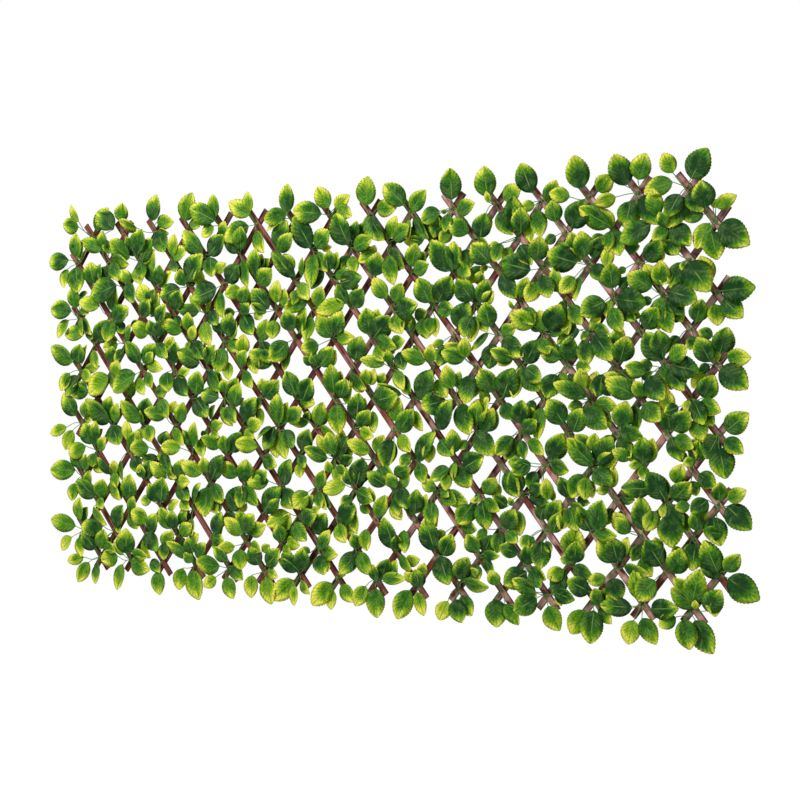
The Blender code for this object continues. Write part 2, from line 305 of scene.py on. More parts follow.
LEAF_ROUGHNESS_SPREAD, LEAF_ROUGHNESS, LEAF_SPECULAR = 0.22, 0.34, 0.06
VEIN_HEIGHT, GROOVE_HEIGHT, NET_HEIGHT, FINE_HEIGHT = -0.24, -0.7, -0.25, 0.4
LEAF_BUMP, LEAF_BUMP_STRENGTH = 0.0010, 0.6


def leaf_paleness(tree, leaf, across, blotch, sided):
    """0 in the dark middle of a dark leaf, and 1 at the yellow tip and margins of a pale one."""
    along, tone = split(tree, leaf)["Y"], split(tree, leaf)["Z"]
    margin = times_plus(tree, ramp(tree, along, *MARGIN_ALONG_RANGE), MARGIN_TIP, MARGIN_BASE)
    margin = times(tree, ramp(tree, across, *MARGIN_RANGE), margin)
    tip = ramp(tree, along, *TIP_RANGE)
    rim = one_minus(tree, times(tree, one_minus(tree, margin), one_minus(tree, tip)))
    own = times_plus(tree, tone, TONE_PALENESS, LEAST_PALENESS)
    pale = times_plus(tree, rim, RIM_PALENESS, own)
    drift = times_plus(tree, rim, RIM_DRIFT, MIDDLE_DRIFT)
    drift = times(tree, about_zero(tree, sided), drift)
    pale = math_node(tree, "ADD", pale, drift)
    return times_plus(tree, about_zero(tree, blotch), BLOTCH_PALENESS, pale)


def leaf_material():
    """Variegated leaf: dark along the middle, yellow-green at the tip and the margins.

    The attribute leaf holds where a point lies on its blade: X is -1 to 1 from margin to
    margin, Y is 0 to 1 from base to tip, and Z is the leaf's own tone, 0 dark to 1 pale.
    """
    material, tree, shader = new_material("leaf_plastic")
    leaf, place = point_attribute(tree, "leaf"), object_place(tree)
    across = math_node(tree, "ABSOLUTE", split(tree, leaf)["X"])
    sided = noise(tree, scaled(tree, leaf, SIDE_STRETCH), *SIDE_NOISE)
    blotch = noise(tree, place, *BLOTCH_NOISE)
    fine = noise(tree, place, *FINE_NOISE)

    # Side veins leave the midrib towards the tip, and a fine net lies between them
    slant = times_plus(tree, across, VEIN_SLANT, split(tree, leaf)["Y"])
    slant = times_plus(tree, blotch, VEIN_WANDER, slant)
    wave = math_node(tree, "SINE", times(tree, slant, VEIN_WAVES))
    side_vein = ramp(tree, wave, *VEIN_RANGE)
    tissue = times(tree, ramp(tree, across, *TISSUE_ACROSS_RANGE),
                   fall(tree, wave, *TISSUE_WAVE_RANGE))
    cells = tree.nodes.new("ShaderNodeTexVoronoi")
    cells.feature = "DISTANCE_TO_EDGE"
    cells.inputs["Scale"].default_value = NET_SCALE
    link(tree, place, cells.inputs["Vector"])
    net = one_minus(tree, ramp(tree, cells.outputs["Distance"], *NET_RANGE))

    # The midrib is a dark groove, with a pale rib along it on some of the leaves
    groove = fall(tree, across, *GROOVE_RANGE)
    rib = times(tree, fall(tree, across, *RIB_RANGE), ramp(tree, sided, *RIB_LEAVES_RANGE))

    pale = leaf_paleness(tree, leaf, across, blotch, sided)
    body = LEAF_COLOURS[0]
    for colour, limits in zip(LEAF_COLOURS[1:], COLOUR_RANGES):
        body = mix_colour(tree, ramp(tree, pale, *limits), body, colour)
    # Painted sheen: pale patches stand in for highlights, stronger on the tissue between the veins
    sheen = times(tree, ramp(tree, noise(tree, place, *SHEEN_NOISE), *SHEEN_RANGE),
                  times_plus(tree, tissue, TISSUE_SHEEN, PLAIN_SHEEN))
    for share, colour in ((times(tree, net, NET_STRENGTH), NET_COLOUR),
                          (sheen, SHEEN_COLOUR),
                          (times(tree, side_vein, VEIN_STRENGTH), VEIN_COLOUR),
                          (times(tree, groove, GROOVE_STRENGTH), VEIN_COLOUR),
                          (times(tree, rib, RIB_STRENGTH), RIB_COLOUR)):
        body = mix_colour(tree, share, body, colour)
    link(tree, body, shader.inputs["Base Color"])
    rough = times_plus(tree, fine, LEAF_ROUGHNESS_SPREAD, LEAF_ROUGHNESS)
    link(tree, rough, shader.inputs["Roughness"])
    shader.inputs["Specular IOR Level"].default_value = LEAF_SPECULAR
    height = times_plus(tree, wave, VEIN_HEIGHT, times(tree, fine, FINE_HEIGHT))
    height = times_plus(tree, groove, GROOVE_HEIGHT, height)
    height = times_plus(tree, net, NET_HEIGHT, height)
    bump(tree, shader, height, LEAF_BUMP, LEAF_BUMP_STRENGTH)
    return material


STEM_DARK, STEM_LIGHT = (0.026, 0.100, 0.014, 1.0), (0.095, 0.240, 0.040, 1.0)
STEM_NOISE, STEM_RANGE = (90.0, 3.0, 0.6), (0.3, 0.7)
STEM_ROUGHNESS, STEM_SPECULAR = 0.5, 0.2
STEM_BUMP, STEM_BUMP_STRENGTH = 0.0003, 0.4


def stem_material():
    """Green plastic, a little blotchy."""
    material, tree, shader = new_material("stem_plastic")
    blotch = noise(tree, object_place(tree), *STEM_NOISE)
    body = mix_colour(tree, ramp(tree, blotch, *STEM_RANGE), STEM_DARK, STEM_LIGHT)
    link(tree, body, shader.inputs["Base Color"])
    shader.inputs["Roughness"].default_value = STEM_ROUGHNESS
    shader.inputs["Specular IOR Level"].default_value = STEM_SPECULAR
    bump(tree, shader, blotch, STEM_BUMP, STEM_BUMP_STRENGTH)
    return material


RIVET_DARK, RIVET_LIGHT = (0.16, 0.10, 0.075, 1.0), (0.38, 0.30, 0.24, 1.0)
RIVET_NOISE = (600.0, 3.0, 0.6)
RIVET_METALLIC = 0.9
RIVET_ROUGHNESS_SPREAD, RIVET_ROUGHNESS = 0.3, 0.3


def rivet_material():
    """Brown metal, worn bright in places."""
    material, tree, shader = new_material("rivet_metal")
    bright_patches = noise(tree, object_place(tree), *RIVET_NOISE)
    body = mix_colour(tree, bright_patches, RIVET_DARK, RIVET_LIGHT)
    link(tree, body, shader.inputs["Base Color"])
    shader.inputs["Metallic"].default_value = RIVET_METALLIC
    rough = times_plus(tree, bright_patches, RIVET_ROUGHNESS_SPREAD, RIVET_ROUGHNESS)
    link(tree, rough, shader.inputs["Roughness"])
    return material


# Colour of the painted sheen on the boards
WOOD_SHEEN = (0.76, 0.46, 0.40, 1.0)
# One stained wood in two copies: the front boards are lighter with painted sheen, the back boards
# darker with painted shade
FRONT_WOOD_PAINTED_LIT = wood_material("front_stained_wood", (0.042, 0.006, 0.005, 1.0),
                           (0.280, 0.086, 0.062, 1.0), WOOD_SHEEN, 0.41)
BACK_WOOD_PAINTED_SHADE = wood_material("back_stained_wood", (0.020, 0.003, 0.003, 1.0),
                          (0.185, 0.052, 0.038, 1.0), WOOD_SHEEN, 0.38)
LEAF = leaf_material()
STEM = stem_material()
RIVET = rivet_material()


# Pieces

def mesh_piece(name, mesh, material, body):
    item = bpy.data.objects.new(name, mesh)
    item.data.materials.append(material)
    bpy.context.scene.collection.objects.link(item)
    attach(item, body)
    return item


def made_mesh(name, shape):
    """A smooth mesh of a bmesh, which is freed."""
    mesh = bpy.data.meshes.new(name)
    shape.to_mesh(mesh)
    shape.free()
    mesh.shade_smooth()
    return mesh


def set_attribute(mesh, name, values):
    layer = mesh.attributes.new(name, "FLOAT_VECTOR", "POINT")
    layer.data.foreach_set("vector", np.asarray(values, dtype=np.float32).ravel())


def flat_ball(shape, centre, radius, rise, segments, rings):
    """A ball of a radius in X and Z, pressed flat in Y to rise each way."""
    made = bmesh.ops.create_uvsphere(shape, u_segments=segments, v_segments=rings, radius=1.0)
    size = Matrix.Diagonal((radius, rise, radius, 1.0))
    bmesh.ops.transform(shape, matrix=Matrix.Translation(centre) @ size, verts=made["verts"])


def board(name, members, lean, front, back, body, node, wood, seed):
    """One slat with rounded edges, drawn along Z and leant over."""
    length = (len(members) - 1) * HOLE_PITCH + 2.0 * SLAT_END
    shape = bmesh.new()
    bmesh.ops.create_cube(shape, size=1.0)
    size = Matrix.Diagonal((SLAT_WIDTH, SLAT_THICKNESS, length, 1.0))
    bmesh.ops.transform(shape, matrix=size, verts=shape.verts)
    bmesh.ops.bevel(shape, geom=list(shape.edges), offset=EDGE_ROUND, segments=EDGE_SEGMENTS,
                    profile=0.5, affect="EDGES")
    start = Vector((0.0, 0.0, seed * GRAIN_STEP))
    local = [tuple(vertex.co + start) for vertex in shape.verts]
    middle = (crossing_place(*members[0]) + crossing_place(*members[-1])) / 2.0
    middle.y = (front + back) / 2.0
    turn = Matrix.Rotation(math.radians(lean), 4, "Y")
    bmesh.ops.transform(shape, matrix=Matrix.Translation(middle) @ turn, verts=shape.verts)
    mesh = made_mesh(name, shape)
    mesh.set_sharp_from_angle(angle=math.radians(SHARP_ANGLE))
    set_attribute(mesh, "board", local)
    item = mesh_piece(name, mesh, wood, body)
    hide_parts(node)


def rivet_heads(number, members, body):
    """Domed heads on the front and flat tails on the back of one front slat's rivets."""
    shape = bmesh.new()
    for member in members:
        centre = crossing_place(*member)
        for radius, rise, face in ((HEAD_RADIUS, HEAD_RISE, FRONT_FACE),
                                   (TAIL_RADIUS, TAIL_RISE, 0.0)):
            flat_ball(shape, Vector((centre.x, face, centre.z)), radius, rise,
                      RIVET_SEGMENTS, RIVET_RINGS)
    name = "rivets_%02d" % number
    mesh_piece(name, made_mesh(name, shape), RIVET, body)


# Leaves

def leaf_half_share(t):
    """Half width at a share of a blade's length, as a share of the widest: pointed at the tip."""
    return OUTLINE_FACTOR * t ** BASE_POWER * (1.0 - t) ** TIP_POWER


def leaf_template():
    """A unit blade's points as (along, across, column, 1 on the back skin only), and its faces.

    The front and back skins share the rim, so the blade is one closed body.
    """
    base = 0
    points, faces, rows = [(0.0, 0.0, 0.0, 0.0)], [], []
    for step in range(1, LEAF_STEPS):
        t = step / LEAF_STEPS
        is_tooth = step % 2
        rim_reach = 1.0 + (TOOTH_SHARE if is_tooth else -NOTCH_SHARE)
        rim_t = t + (TOOTH_LEAN_SHARE / LEAF_STEPS if is_tooth else 0.0)
        half = leaf_half_share(t)
        front, back = [], []
        for column in LEAF_COLUMNS:
            front.append(len(points))
            if abs(column) == 1.0:
                back.append(len(points))
                points.append((rim_t, half * column * rim_reach, column, 0.0))
            else:
                back.append(len(points) + 1)
                points.append((t, half * column, column, 0.0))
                points.append((t, half * column, column, 1.0))
        rows.append((front, back))
    tip = len(points)
    points.append((1.0, 0.0, 0.0, 0.0))
    last = len(LEAF_COLUMNS) - 1
    for index in range(last):
        first_front, first_back = rows[0]
        faces.append((base, first_front[index], first_front[index + 1]))
        faces.append((base, first_back[index + 1], first_back[index]))
        last_front, last_back = rows[-1]
        faces.append((tip, last_front[index + 1], last_front[index]))
        faces.append((tip, last_back[index], last_back[index + 1]))
    for (front, back), (next_front, next_back) in zip(rows, rows[1:]):
        for index in range(last):
            faces.append((front[index], next_front[index],
                          next_front[index + 1], front[index + 1]))
            faces.append((back[index + 1], next_back[index + 1],
                          next_back[index], back[index]))
    return np.array(points), faces


LEAF_POINTS, LEAF_FACES = leaf_template()


class Foliage:
    """Gathers the blades of one slat's sprigs in one mesh, and their stems in another."""

    def __init__(self):
        self.points, self.faces, self.values, self.count = [], [], [], 0
        self.stems = bmesh.new()

    def blade(self, base, tip, width, roll, cup_share, bend_share, tone):
        """A blade from base to tip; roll turns it about its midrib.

        Its margins stand out by a share of its width, and its middle by a share of its length.
        """
        direction = tip - base
        length = direction.length
        direction.normalize()
        side = direction.cross(OUTWARD).normalized()
        normal = side.cross(direction).normalized()
        turn = Matrix.Rotation(math.radians(roll), 3, direction)
        side, normal = turn @ side, turn @ normal
        t, reach, column, is_back = LEAF_POINTS.T
        across = reach * width / 2.0
        swell = np.sin(np.pi * t) ** CUP_POWER
        lift = cup_share * width * (np.abs(column) ** CREASE_POWER * swell)
        lift = lift + bend_share * length * 4.0 * t * (1.0 - t)
        lift = lift - is_back * LEAF_THICKNESS * swell
        place = (np.array(base)[None, :] + np.outer(t * length, direction)
                 + np.outer(across, side) + np.outer(lift, normal))
        self.points.append(place)
        self.values.append(np.column_stack([column, t, np.full(len(t), tone)]))
        self.faces.extend([tuple(self.count + i for i in face) for face in LEAF_FACES])
        self.count += len(t)

    def stem(self, places):
        """A thin closed tube through places.

        Its sides are set off from the outward direction, or from X where it nearly runs outward.
        """
        rings = []
        for index, place in enumerate(places):
            before = places[max(index - 1, 0)]
            after = places[min(index + 1, len(places) - 1)]
            heading = (after - before).normalized()
            side = heading.cross(OUTWARD)
            if side.length < LEAST_SIDE:
                side = heading.cross(SIDEWAYS)
            side.normalize()
            other = heading.cross(side)
            ring = []
            for number in range(STEM_SIDES):
                angle = 2.0 * math.pi * number / STEM_SIDES
                spot = place + STEM_RADIUS * (math.cos(angle) * side + math.sin(angle) * other)
                ring.append(self.stems.verts.new(spot))
            rings.append(ring)
        for ring, following in zip(rings, rings[1:]):
            for number in range(STEM_SIDES):
                near, far = number, (number + 1) % STEM_SIDES
                self.stems.faces.new((ring[near], ring[far], following[far], following[near]))
        self.stems.faces.new(list(reversed(rings[0])))
        self.stems.faces.new(rings[-1])

    def hub(self, centre):
        """The small moulded button that the stems leave."""
        flat_ball(self.stems, centre, HUB_RADIUS, HUB_RISE, HUB_SEGMENTS, HUB_RINGS)

    def finish(self, number, body, node):
        """Makes the two pieces; the blades replace the node, if the slat has one for them."""
        name = "leaves_%02d" % number
        mesh = bpy.data.meshes.new(name)
        mesh.from_pydata(np.concatenate(self.points).tolist(), [], self.faces)
        set_attribute(mesh, "leaf", np.concatenate(self.values))
        mesh.shade_smooth()
        blades = mesh_piece(name, mesh, LEAF, body)
        if node:
            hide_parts(node)
        bmesh.ops.recalc_face_normals(self.stems, faces=self.stems.faces)
        name = "stems_%02d" % number
        mesh_piece(name, made_mesh(name, self.stems), STEM, body)


# Leaves that the photograph shows, judged one by one, by the column and row of their crossing.
# Each is base_x, base_y, tip_x, tip_y and width in pixels, then how high the leaf lies (1 low
# to 4 high) and its tone (0 dark to 9 pale).
LEAF_PIXELS = {
    (1, 0): ((79, 222, 71, 205, 7, 3, 7), (79, 227, 63, 225, 14, 3, 5), (114, 229, 97, 212, 18, 4, 2),
        (95, 230, 109, 208, 15, 2, 3), (94, 237, 100, 246, 9, 1, 3)),
    (3, 0): ((121, 222, 122.5, 203, 13, 3, 5),),
    (5, 0): ((152, 221, 157, 194.5, 14, 3, 4), (137, 228, 119, 221, 9, 3, 6),
        (157, 222, 174, 222, 13, 2, 5), (157, 231, 165, 252, 16, 3, 2), (160, 230, 169, 233, 5, 1, 8)),
    (7, 0): ((185, 221, 192.5, 192.5, 17, 3, 4), (190, 222, 200, 227, 9, 2, 5)),
    (9, 0): ((215, 221, 190, 207, 19, 3, 3), (215, 218, 213.5, 194, 11, 3, 4),
        (214, 226, 202, 237, 11, 3, 7), (222, 236, 225, 221, 9, 2, 4)),
    (11, 0): ((249, 226, 224, 240, 19, 3, 3), (250, 215, 229, 202, 16, 3, 6),
        (250, 212, 248, 191.5, 10, 3, 7), (256, 231, 264, 253, 11, 3, 5)),
    (13, 0): ((287, 214, 264, 220, 16, 3, 4), (283, 219, 267, 231, 7, 2, 6),
        (287, 213, 287.5, 183.5, 14, 3, 3)),
    (15, 0): ((329, 208, 317, 187, 15, 3, 5), (335, 208, 350, 195, 12, 2, 8),
        (337, 208, 352, 216, 13, 3, 6), (322, 214, 293, 211, 20, 3, 3)),
    (17, 0): ((366, 206, 368, 176, 18, 3, 4), (370, 217, 385, 240, 12, 3, 1),
        (367, 218, 380, 241, 14, 2, 5), (367, 216, 367, 238, 6, 1, 8),
        (377, 209, 397, 207.5, 16, 2, 6)),
    (19, 0): ((405, 205, 384, 184, 19, 3, 3), (411, 211, 426, 190, 15, 3, 4),
        (409, 219, 409, 240, 5, 3, 6), (414, 217, 429, 239, 9, 2, 1), (410, 228, 421, 240, 12, 1, 4),
        (424, 240, 404, 242, 10, 2, 4)),
    (21, 0): ((452, 200, 450, 168, 19, 3, 3), (457, 212, 475, 203, 15, 3, 4),
        (440, 211, 421, 222, 17, 3, 3), (439, 214, 434, 238, 13, 2, 1), (449, 214, 445, 232, 10, 3, 4),
        (451, 230, 440, 243, 12, 2, 5), (447, 212, 441, 211, 5, 1, 7)),
    (23, 0): ((488, 197, 484, 166, 19, 3, 3), (490, 203, 486, 191, 5, 4, 8),
        (504, 200, 521, 186, 18, 1, 5), (486, 213, 486, 236, 12, 1, 6),
        (499, 212, 513, 235, 17, 2, 3)),
    (25, 0): ((532, 193, 521, 163, 19, 3, 1), (547, 203, 556.5, 180, 14, 2, 3),
        (537, 210, 541, 237, 15, 2, 3), (523, 204, 517, 222, 14, 2, 5), (535, 205, 521, 207, 10, 2, 6),
        (530, 222, 531, 243, 8, 1, 7)),
    (27, 0): ((581, 189, 574, 155, 21, 3, 3), (597, 191, 613, 175, 17, 1, 4),
        (570, 197, 549, 193, 14, 3, 6), (591, 203, 598, 222, 12, 1, 6)),
    (29, 0): ((626, 186, 614, 154, 22, 3, 2), (638, 180, 646, 153, 18, 3, 5),
        (631, 201, 625, 228, 18, 3, 2), (637, 200, 628, 227, 18, 1, 6), (641, 196, 661, 225, 19, 2, 1),
        (616, 197, 595, 204, 13, 3, 7)),
    (31, 0): ((691, 179, 708, 148, 22, 3, 1), (673, 173, 663, 153, 14, 2, 7),
        (673, 182, 644, 192.5, 18, 3, 5), (690, 192, 703, 212, 18, 1, 1),
        (680, 194, 668, 217, 23, 3, 0), (685, 197, 667, 228, 20, 2, 2)),
    (0, 1): ((77, 258, 76, 233, 12, 3, 4), (80, 260, 83, 240, 8, 2, 4), (80, 263, 87, 250, 4, 2, 7),
        (69, 260, 49.5, 264, 16, 3, 3), (68, 269, 64, 288, 10, 3, 6), (76, 267, 78, 293, 17, 4, 3)),
    (2, 1): ((102, 250, 82, 240, 13, 3, 4), (103, 249, 103, 231, 10, 4, 5),
        (109, 254, 107, 240, 9, 2, 6), (112, 259, 129, 264, 12, 3, 4), (108, 266, 103, 284, 15, 2, 2),
        (112, 262, 119, 281, 12, 3, 3)),
    (4, 1): ((138, 252, 142, 229, 16, 4, 3), (130, 258, 110, 241, 18, 3, 3),
        (136, 256, 126, 237, 12, 1, 0), (142, 261, 152, 238, 14, 3, 3), (143, 264, 155, 250, 9, 2, 6),
        (141, 262, 143, 279, 10, 3, 3), (137, 268, 141, 284, 12, 2, 6)),
    (6, 1): ((172, 256, 175, 234, 10, 3, 5), (173, 258, 188, 249, 13, 3, 5),
        (173, 260, 176, 272, 10, 2, 2)),
    (8, 1): ((203, 254, 183, 231, 16, 3, 3), (209, 255, 224, 235, 17, 3, 1),
        (210, 257, 212, 277, 14, 3, 3), (216, 272, 226, 263, 10, 2, 7)),
    (10, 1): ((241, 250, 241, 226, 14, 4, 3), (239, 252, 224, 241, 9, 2, 1),
        (242, 260, 248, 287, 10, 3, 4)),
    (12, 1): ((276, 248, 287, 220, 17, 3, 2), (279, 252, 292, 233, 14, 4, 4)),
    (14, 1): ((315, 247, 329, 230, 17, 4, 4), (314, 254, 311, 288, 14, 3, 5),
        (318, 252, 328, 272, 10, 2, 4), (322, 249, 332, 247, 6, 2, 8),
        (311, 248, 293.5, 216, 19, 3, 1)),
    (16, 1): ((349, 245, 335.5, 213, 19, 3, 1), (352, 241, 357.5, 221, 10, 3, 3),
        (358, 240, 369, 222, 12, 1, 0), (354, 248, 372.5, 237.5, 15, 4, 4),
        (361, 252, 375, 250, 9, 1, 5), (374, 252, 358.5, 262, 11, 3, 5),
        (352, 256, 355, 274, 11, 2, 5), (349, 256, 341, 268, 12, 1, 2)),
    (18, 1): ((387, 239, 397, 216, 11, 2, 6), (394, 240, 409, 225, 17, 4, 3),
        (391, 249, 405, 268, 12, 3, 2), (389, 255, 394, 285, 14, 2, 5),
        (393, 256, 400, 271, 14, 1, 1)),
    (20, 1): ((433, 240, 441, 260, 14, 1, 2), (431, 240, 437, 214, 19, 2, 1)),
    (22, 1): ((480, 238, 485, 213, 17, 3, 2), (468, 234, 450, 220, 19, 2, 4),
        (478, 239, 490, 249, 8, 2, 6), (466, 249, 468, 270, 16, 2, 2)),
    (24, 1): ((514, 233, 514, 196, 20, 3, 1), (521, 233, 521, 207, 17, 4, 3),
        (501, 243, 494, 262, 12, 3, 4), (499, 244, 489, 246, 6, 2, 8), (510, 247, 505, 262, 10, 1, 6),
        (520, 245, 532, 265, 14, 2, 1)),
    (26, 1): ((571, 228, 586, 200, 22, 2, 0), (556, 222, 552, 200, 15, 3, 4),
        (577, 256, 571, 232, 14, 2, 3), (556, 236, 545, 243, 11, 1, 2),
        (559, 243, 566, 252, 10, 1, 6)),
    (28, 1): ((610, 226, 579, 207, 15, 3, 3), (613, 228, 601, 208, 12, 1, 7),
        (614, 230, 620, 256, 16, 1, 3), (606, 237, 590, 246, 14, 1, 1), (611, 231, 607, 252, 10, 1, 4),
        (626, 249, 640, 246, 12, 1, 1)),
    (30, 1): ((657, 216, 652, 188, 15, 4, 4), (667, 226, 659, 212, 11, 4, 4),
        (672, 225, 690.5, 246, 19, 2, 2), (664, 230, 678, 255, 19, 1, 0),
        (651, 224, 620, 243, 20, 3, 2), (665, 253, 654, 262, 9, 1, 9), (668, 229, 652, 240, 14, 2, 6)),
    (32, 1): ((706, 208, 701, 180, 21, 3, 2), (716, 207, 737, 195, 13, 2, 6),
        (713, 208, 717, 199, 6, 1, 9), (720, 224, 750, 245, 24, 3, 1),
        (711, 231, 717.5, 260, 20, 3, 3), (710, 223, 696, 249, 15, 1, 5),
        (704, 214, 682, 218, 13, 1, 3)),
    (1, 2): ((93, 284, 91, 262, 18, 3, 3), (97, 284, 101, 264, 9, 3, 1)),
    (3, 2): ((117, 285, 91, 297, 22, 4, 2), (130, 283, 122, 270, 11, 3, 5),
        (127, 282, 134, 303, 12, 4, 3)),
    (5, 2): ((159, 285, 160, 265, 13, 4, 3), (154, 282, 146, 262, 11, 1, 0),
        (161, 287, 172, 271, 9, 2, 5), (152, 272, 154, 250, 9, 3, 5)),
    (7, 2): ((180, 288, 160, 297, 15, 3, 2), (184, 286, 180, 269, 13, 3, 4),
        (188, 281, 203, 254, 19, 3, 2), (200, 287, 199, 268, 10, 3, 7), (201, 286, 208, 281, 6, 1, 8)),
    (9, 2): ((217, 288, 192, 299, 20, 4, 1), (228, 283, 238, 264, 17, 3, 1),
        (220, 292, 223, 318, 11, 3, 5), (241, 289, 225, 295, 13, 3, 6)),
    (11, 2): ((255, 276, 256, 248, 13, 3, 3), (260, 268, 262, 254, 9, 1, 6),
        (262, 268, 270, 259, 9, 1, 1), (259, 284, 272, 269, 17, 4, 4)),
    (13, 2): ((296, 276, 271, 252, 13, 3, 2), (294, 270, 283, 254, 12, 2, 6),
        (302, 277, 303, 257, 5, 2, 4), (299, 283, 309, 300, 12, 3, 5), (298, 290, 293, 305, 10, 3, 4)),
    (15, 2): ((331, 270, 329, 250, 12, 3, 2), (334, 270, 338, 252, 9, 2, 5),
        (324, 270, 311, 289, 11, 2, 1), (335, 275, 353, 274, 11, 3, 4), (340, 283, 362, 277, 17, 4, 1),
        (352, 290, 359, 285, 6, 1, 6)),
    (17, 2): ((375, 276, 378, 252, 18, 3, 3), (372, 254, 375, 245, 8, 1, 9)),
    (19, 2): ((412, 267, 416, 243, 15, 3, 4), (415, 268, 426, 252, 12, 1, 2),
        (414, 272, 429, 264, 14, 3, 4)),
    (21, 2): ((452, 271, 431, 240, 19, 3, 1), (453, 270, 454, 241, 15, 4, 4),
        (456, 268, 461, 247, 8, 1, 6), (457, 268, 471, 275, 14, 4, 5)),
    (23, 2): ((490, 263, 471.5, 243.5, 21, 3, 3), (502, 273, 516, 299, 15, 2, 1),
        (488, 266, 480, 270, 6, 1, 5), (484, 268, 466, 282, 13, 1, 3)),
    (25, 2): ((537, 261, 540, 236, 20, 3, 3), (543, 275, 549, 298, 17, 3, 3),
        (550, 276, 556, 292, 9, 1, 4), (538, 283, 526, 302, 15, 2, 5), (545, 261, 552, 268, 6, 1, 1),
        (531, 270, 500, 262, 23, 3, 1)),
    (27, 2): ((585, 257, 581, 231, 18, 3, 3), (592, 258, 603, 236, 15, 1, 1),
        (580, 262, 572, 245, 14, 2, 6), (594, 264, 603, 281, 14, 1, 1), (581, 276, 575, 301, 6, 2, 4),
        (575, 277, 560, 293, 15, 3, 6), (577, 263, 547, 253, 23, 4, 0)),
    (29, 2): ((647, 262, 661.5, 240, 18, 3, 2), (626, 268, 618, 273, 9, 1, 4),
        (620, 288, 628, 277, 11, 1, 0), (644, 266, 651, 281, 9, 1, 5)),
    (31, 2): ((688, 262, 709.5, 292, 27, 4, 1), (682, 262, 671, 289, 15, 2, 3),
        (670, 269, 662, 285, 14, 2, 7), (678, 254, 664, 240, 14, 1, 0), (685, 262, 681, 270, 6, 3, 7)),
    (0, 3): ((77, 308, 72, 287, 12, 3, 4), (78, 298, 88, 293, 6, 1, 2), (72, 311, 51, 309, 17, 3, 4),
        (69, 320, 58, 338, 10, 3, 6), (80, 310, 89, 313, 7, 1, 5), (81, 318, 83, 337, 8, 3, 5),
        (84, 318, 92, 335, 8, 2, 6)),
    (2, 3): ((100, 306, 79, 302, 14, 3, 6), (113, 312, 116, 287, 13, 2, 5),
        (113, 320, 129, 308, 17, 4, 3), (124, 318, 126, 305, 7, 2, 8), (119, 322, 123, 334, 13, 2, 3),
        (113, 321, 106, 342, 14, 4, 4)),
    (4, 3): ((149, 303, 140, 284, 16, 3, 7), (149, 303, 155, 289, 10, 3, 3),
        (152, 317, 159, 293, 12, 2, 6), (143, 317, 149, 299, 13, 4, 3)),
    (6, 3): ((174, 311, 180, 290, 15, 3, 1), (175, 316, 180, 329, 10, 2, 2)),
    (8, 3): ((201, 311, 190, 295, 8, 2, 7), (199, 312, 177, 309, 12, 2, 1),
        (210, 311, 218, 325, 15, 3, 1), (207, 312, 212, 299, 5, 1, 7), (204, 322, 210, 346, 13, 3, 6)),
    (10, 3): ((235, 312, 224, 314, 9, 2, 4), (241, 304, 247, 286, 14, 3, 3),
        (243, 314, 249, 303, 11, 4, 3), (243, 314, 253, 335, 15, 3, 2), (254, 313, 263, 317, 9, 2, 8)),
    (12, 3): ((269, 309, 252, 289, 17, 3, 1), (267, 312, 251, 304, 8, 4, 5),
        (276, 303, 278, 280, 12, 3, 6), (286, 308, 285, 288, 10, 3, 5),
        (274, 320, 272, 339, 14, 3, 7)),
    (14, 3): ((317, 307, 322, 286, 13, 3, 5), (308, 301, 284, 309, 14, 3, 3),
        (312, 317, 305, 341, 12, 3, 5)),
    (16, 3): ((353, 307, 363, 289, 18, 4, 3), (347, 304, 337, 284, 12, 2, 2),
        (345, 303, 316, 312, 16, 3, 7)),
    (18, 3): ((387, 298, 373, 278, 14, 3, 6), (395, 303, 402, 283, 14, 2, 4),
        (396, 312, 418, 304, 20, 4, 2), (394, 315, 402, 334, 15, 3, 6)),
    (20, 3): ((438, 302, 451, 276, 20, 3, 1), (435, 303, 433, 284, 7, 1, 8),
        (430, 303, 418, 278, 18, 3, 3), (437, 309, 454, 310, 16, 3, 3), (430, 317, 430, 334, 12, 3, 4),
        (435, 317, 436, 337, 8, 2, 8), (424, 317, 427, 339, 18, 2, 2)),
    (22, 3): ((473, 301, 457, 279, 18, 3, 2), (480, 303, 488, 279, 15, 3, 3),
        (484, 304, 494, 291, 11, 2, 7), (478, 285, 481, 271, 10, 1, 5), (472, 316, 463, 337, 19, 3, 2),
        (475, 316, 471, 342, 12, 2, 6), (478, 314, 488, 332, 11, 1, 6)),
    (24, 3): ((520, 297, 528, 277, 12, 3, 5), (524, 308, 534, 325, 15, 2, 4),
        (514, 309, 509, 300, 3, 2, 5)),
    (26, 3): ((559, 293, 555, 266, 10, 2, 5), (570, 305, 582, 325, 14, 2, 4),
        (565, 315, 568, 335, 10, 2, 6), (560, 302, 566, 318, 8, 1, 2)),
    (28, 3): ((612, 289, 610, 262, 18, 3, 3), (606, 267, 610, 245, 11, 1, 8),
        (617, 299, 647, 303, 24, 4, 0), (618, 305, 636, 321, 12, 3, 0), (605, 301, 580, 314, 22, 3, 2),
        (612, 308, 622, 332, 14, 3, 3), (611, 300, 607, 318, 8, 1, 7)),
    (30, 3): ((669, 291, 697.5, 300, 23, 4, 1), (668, 297, 684, 315, 15, 3, 0),
        (671, 305, 683, 322, 14, 1, 2), (663, 305, 671, 333, 14, 3, 4), (661, 297, 659, 330, 13, 1, 6),
        (661, 286, 661, 260, 16, 3, 6), (655, 284, 645, 264, 14, 2, 6), (652, 288, 627, 274, 19, 3, 3),
        (652, 299, 641, 303, 13, 2, 3)),
    (32, 3): ((722, 291, 756, 287, 24, 3, 1), (723, 299, 743, 318, 19, 2, 3),
        (715, 304, 718, 326, 16, 2, 6), (711, 281, 700, 256, 17, 1, 4), (707, 290, 702, 274, 9, 1, 2)),
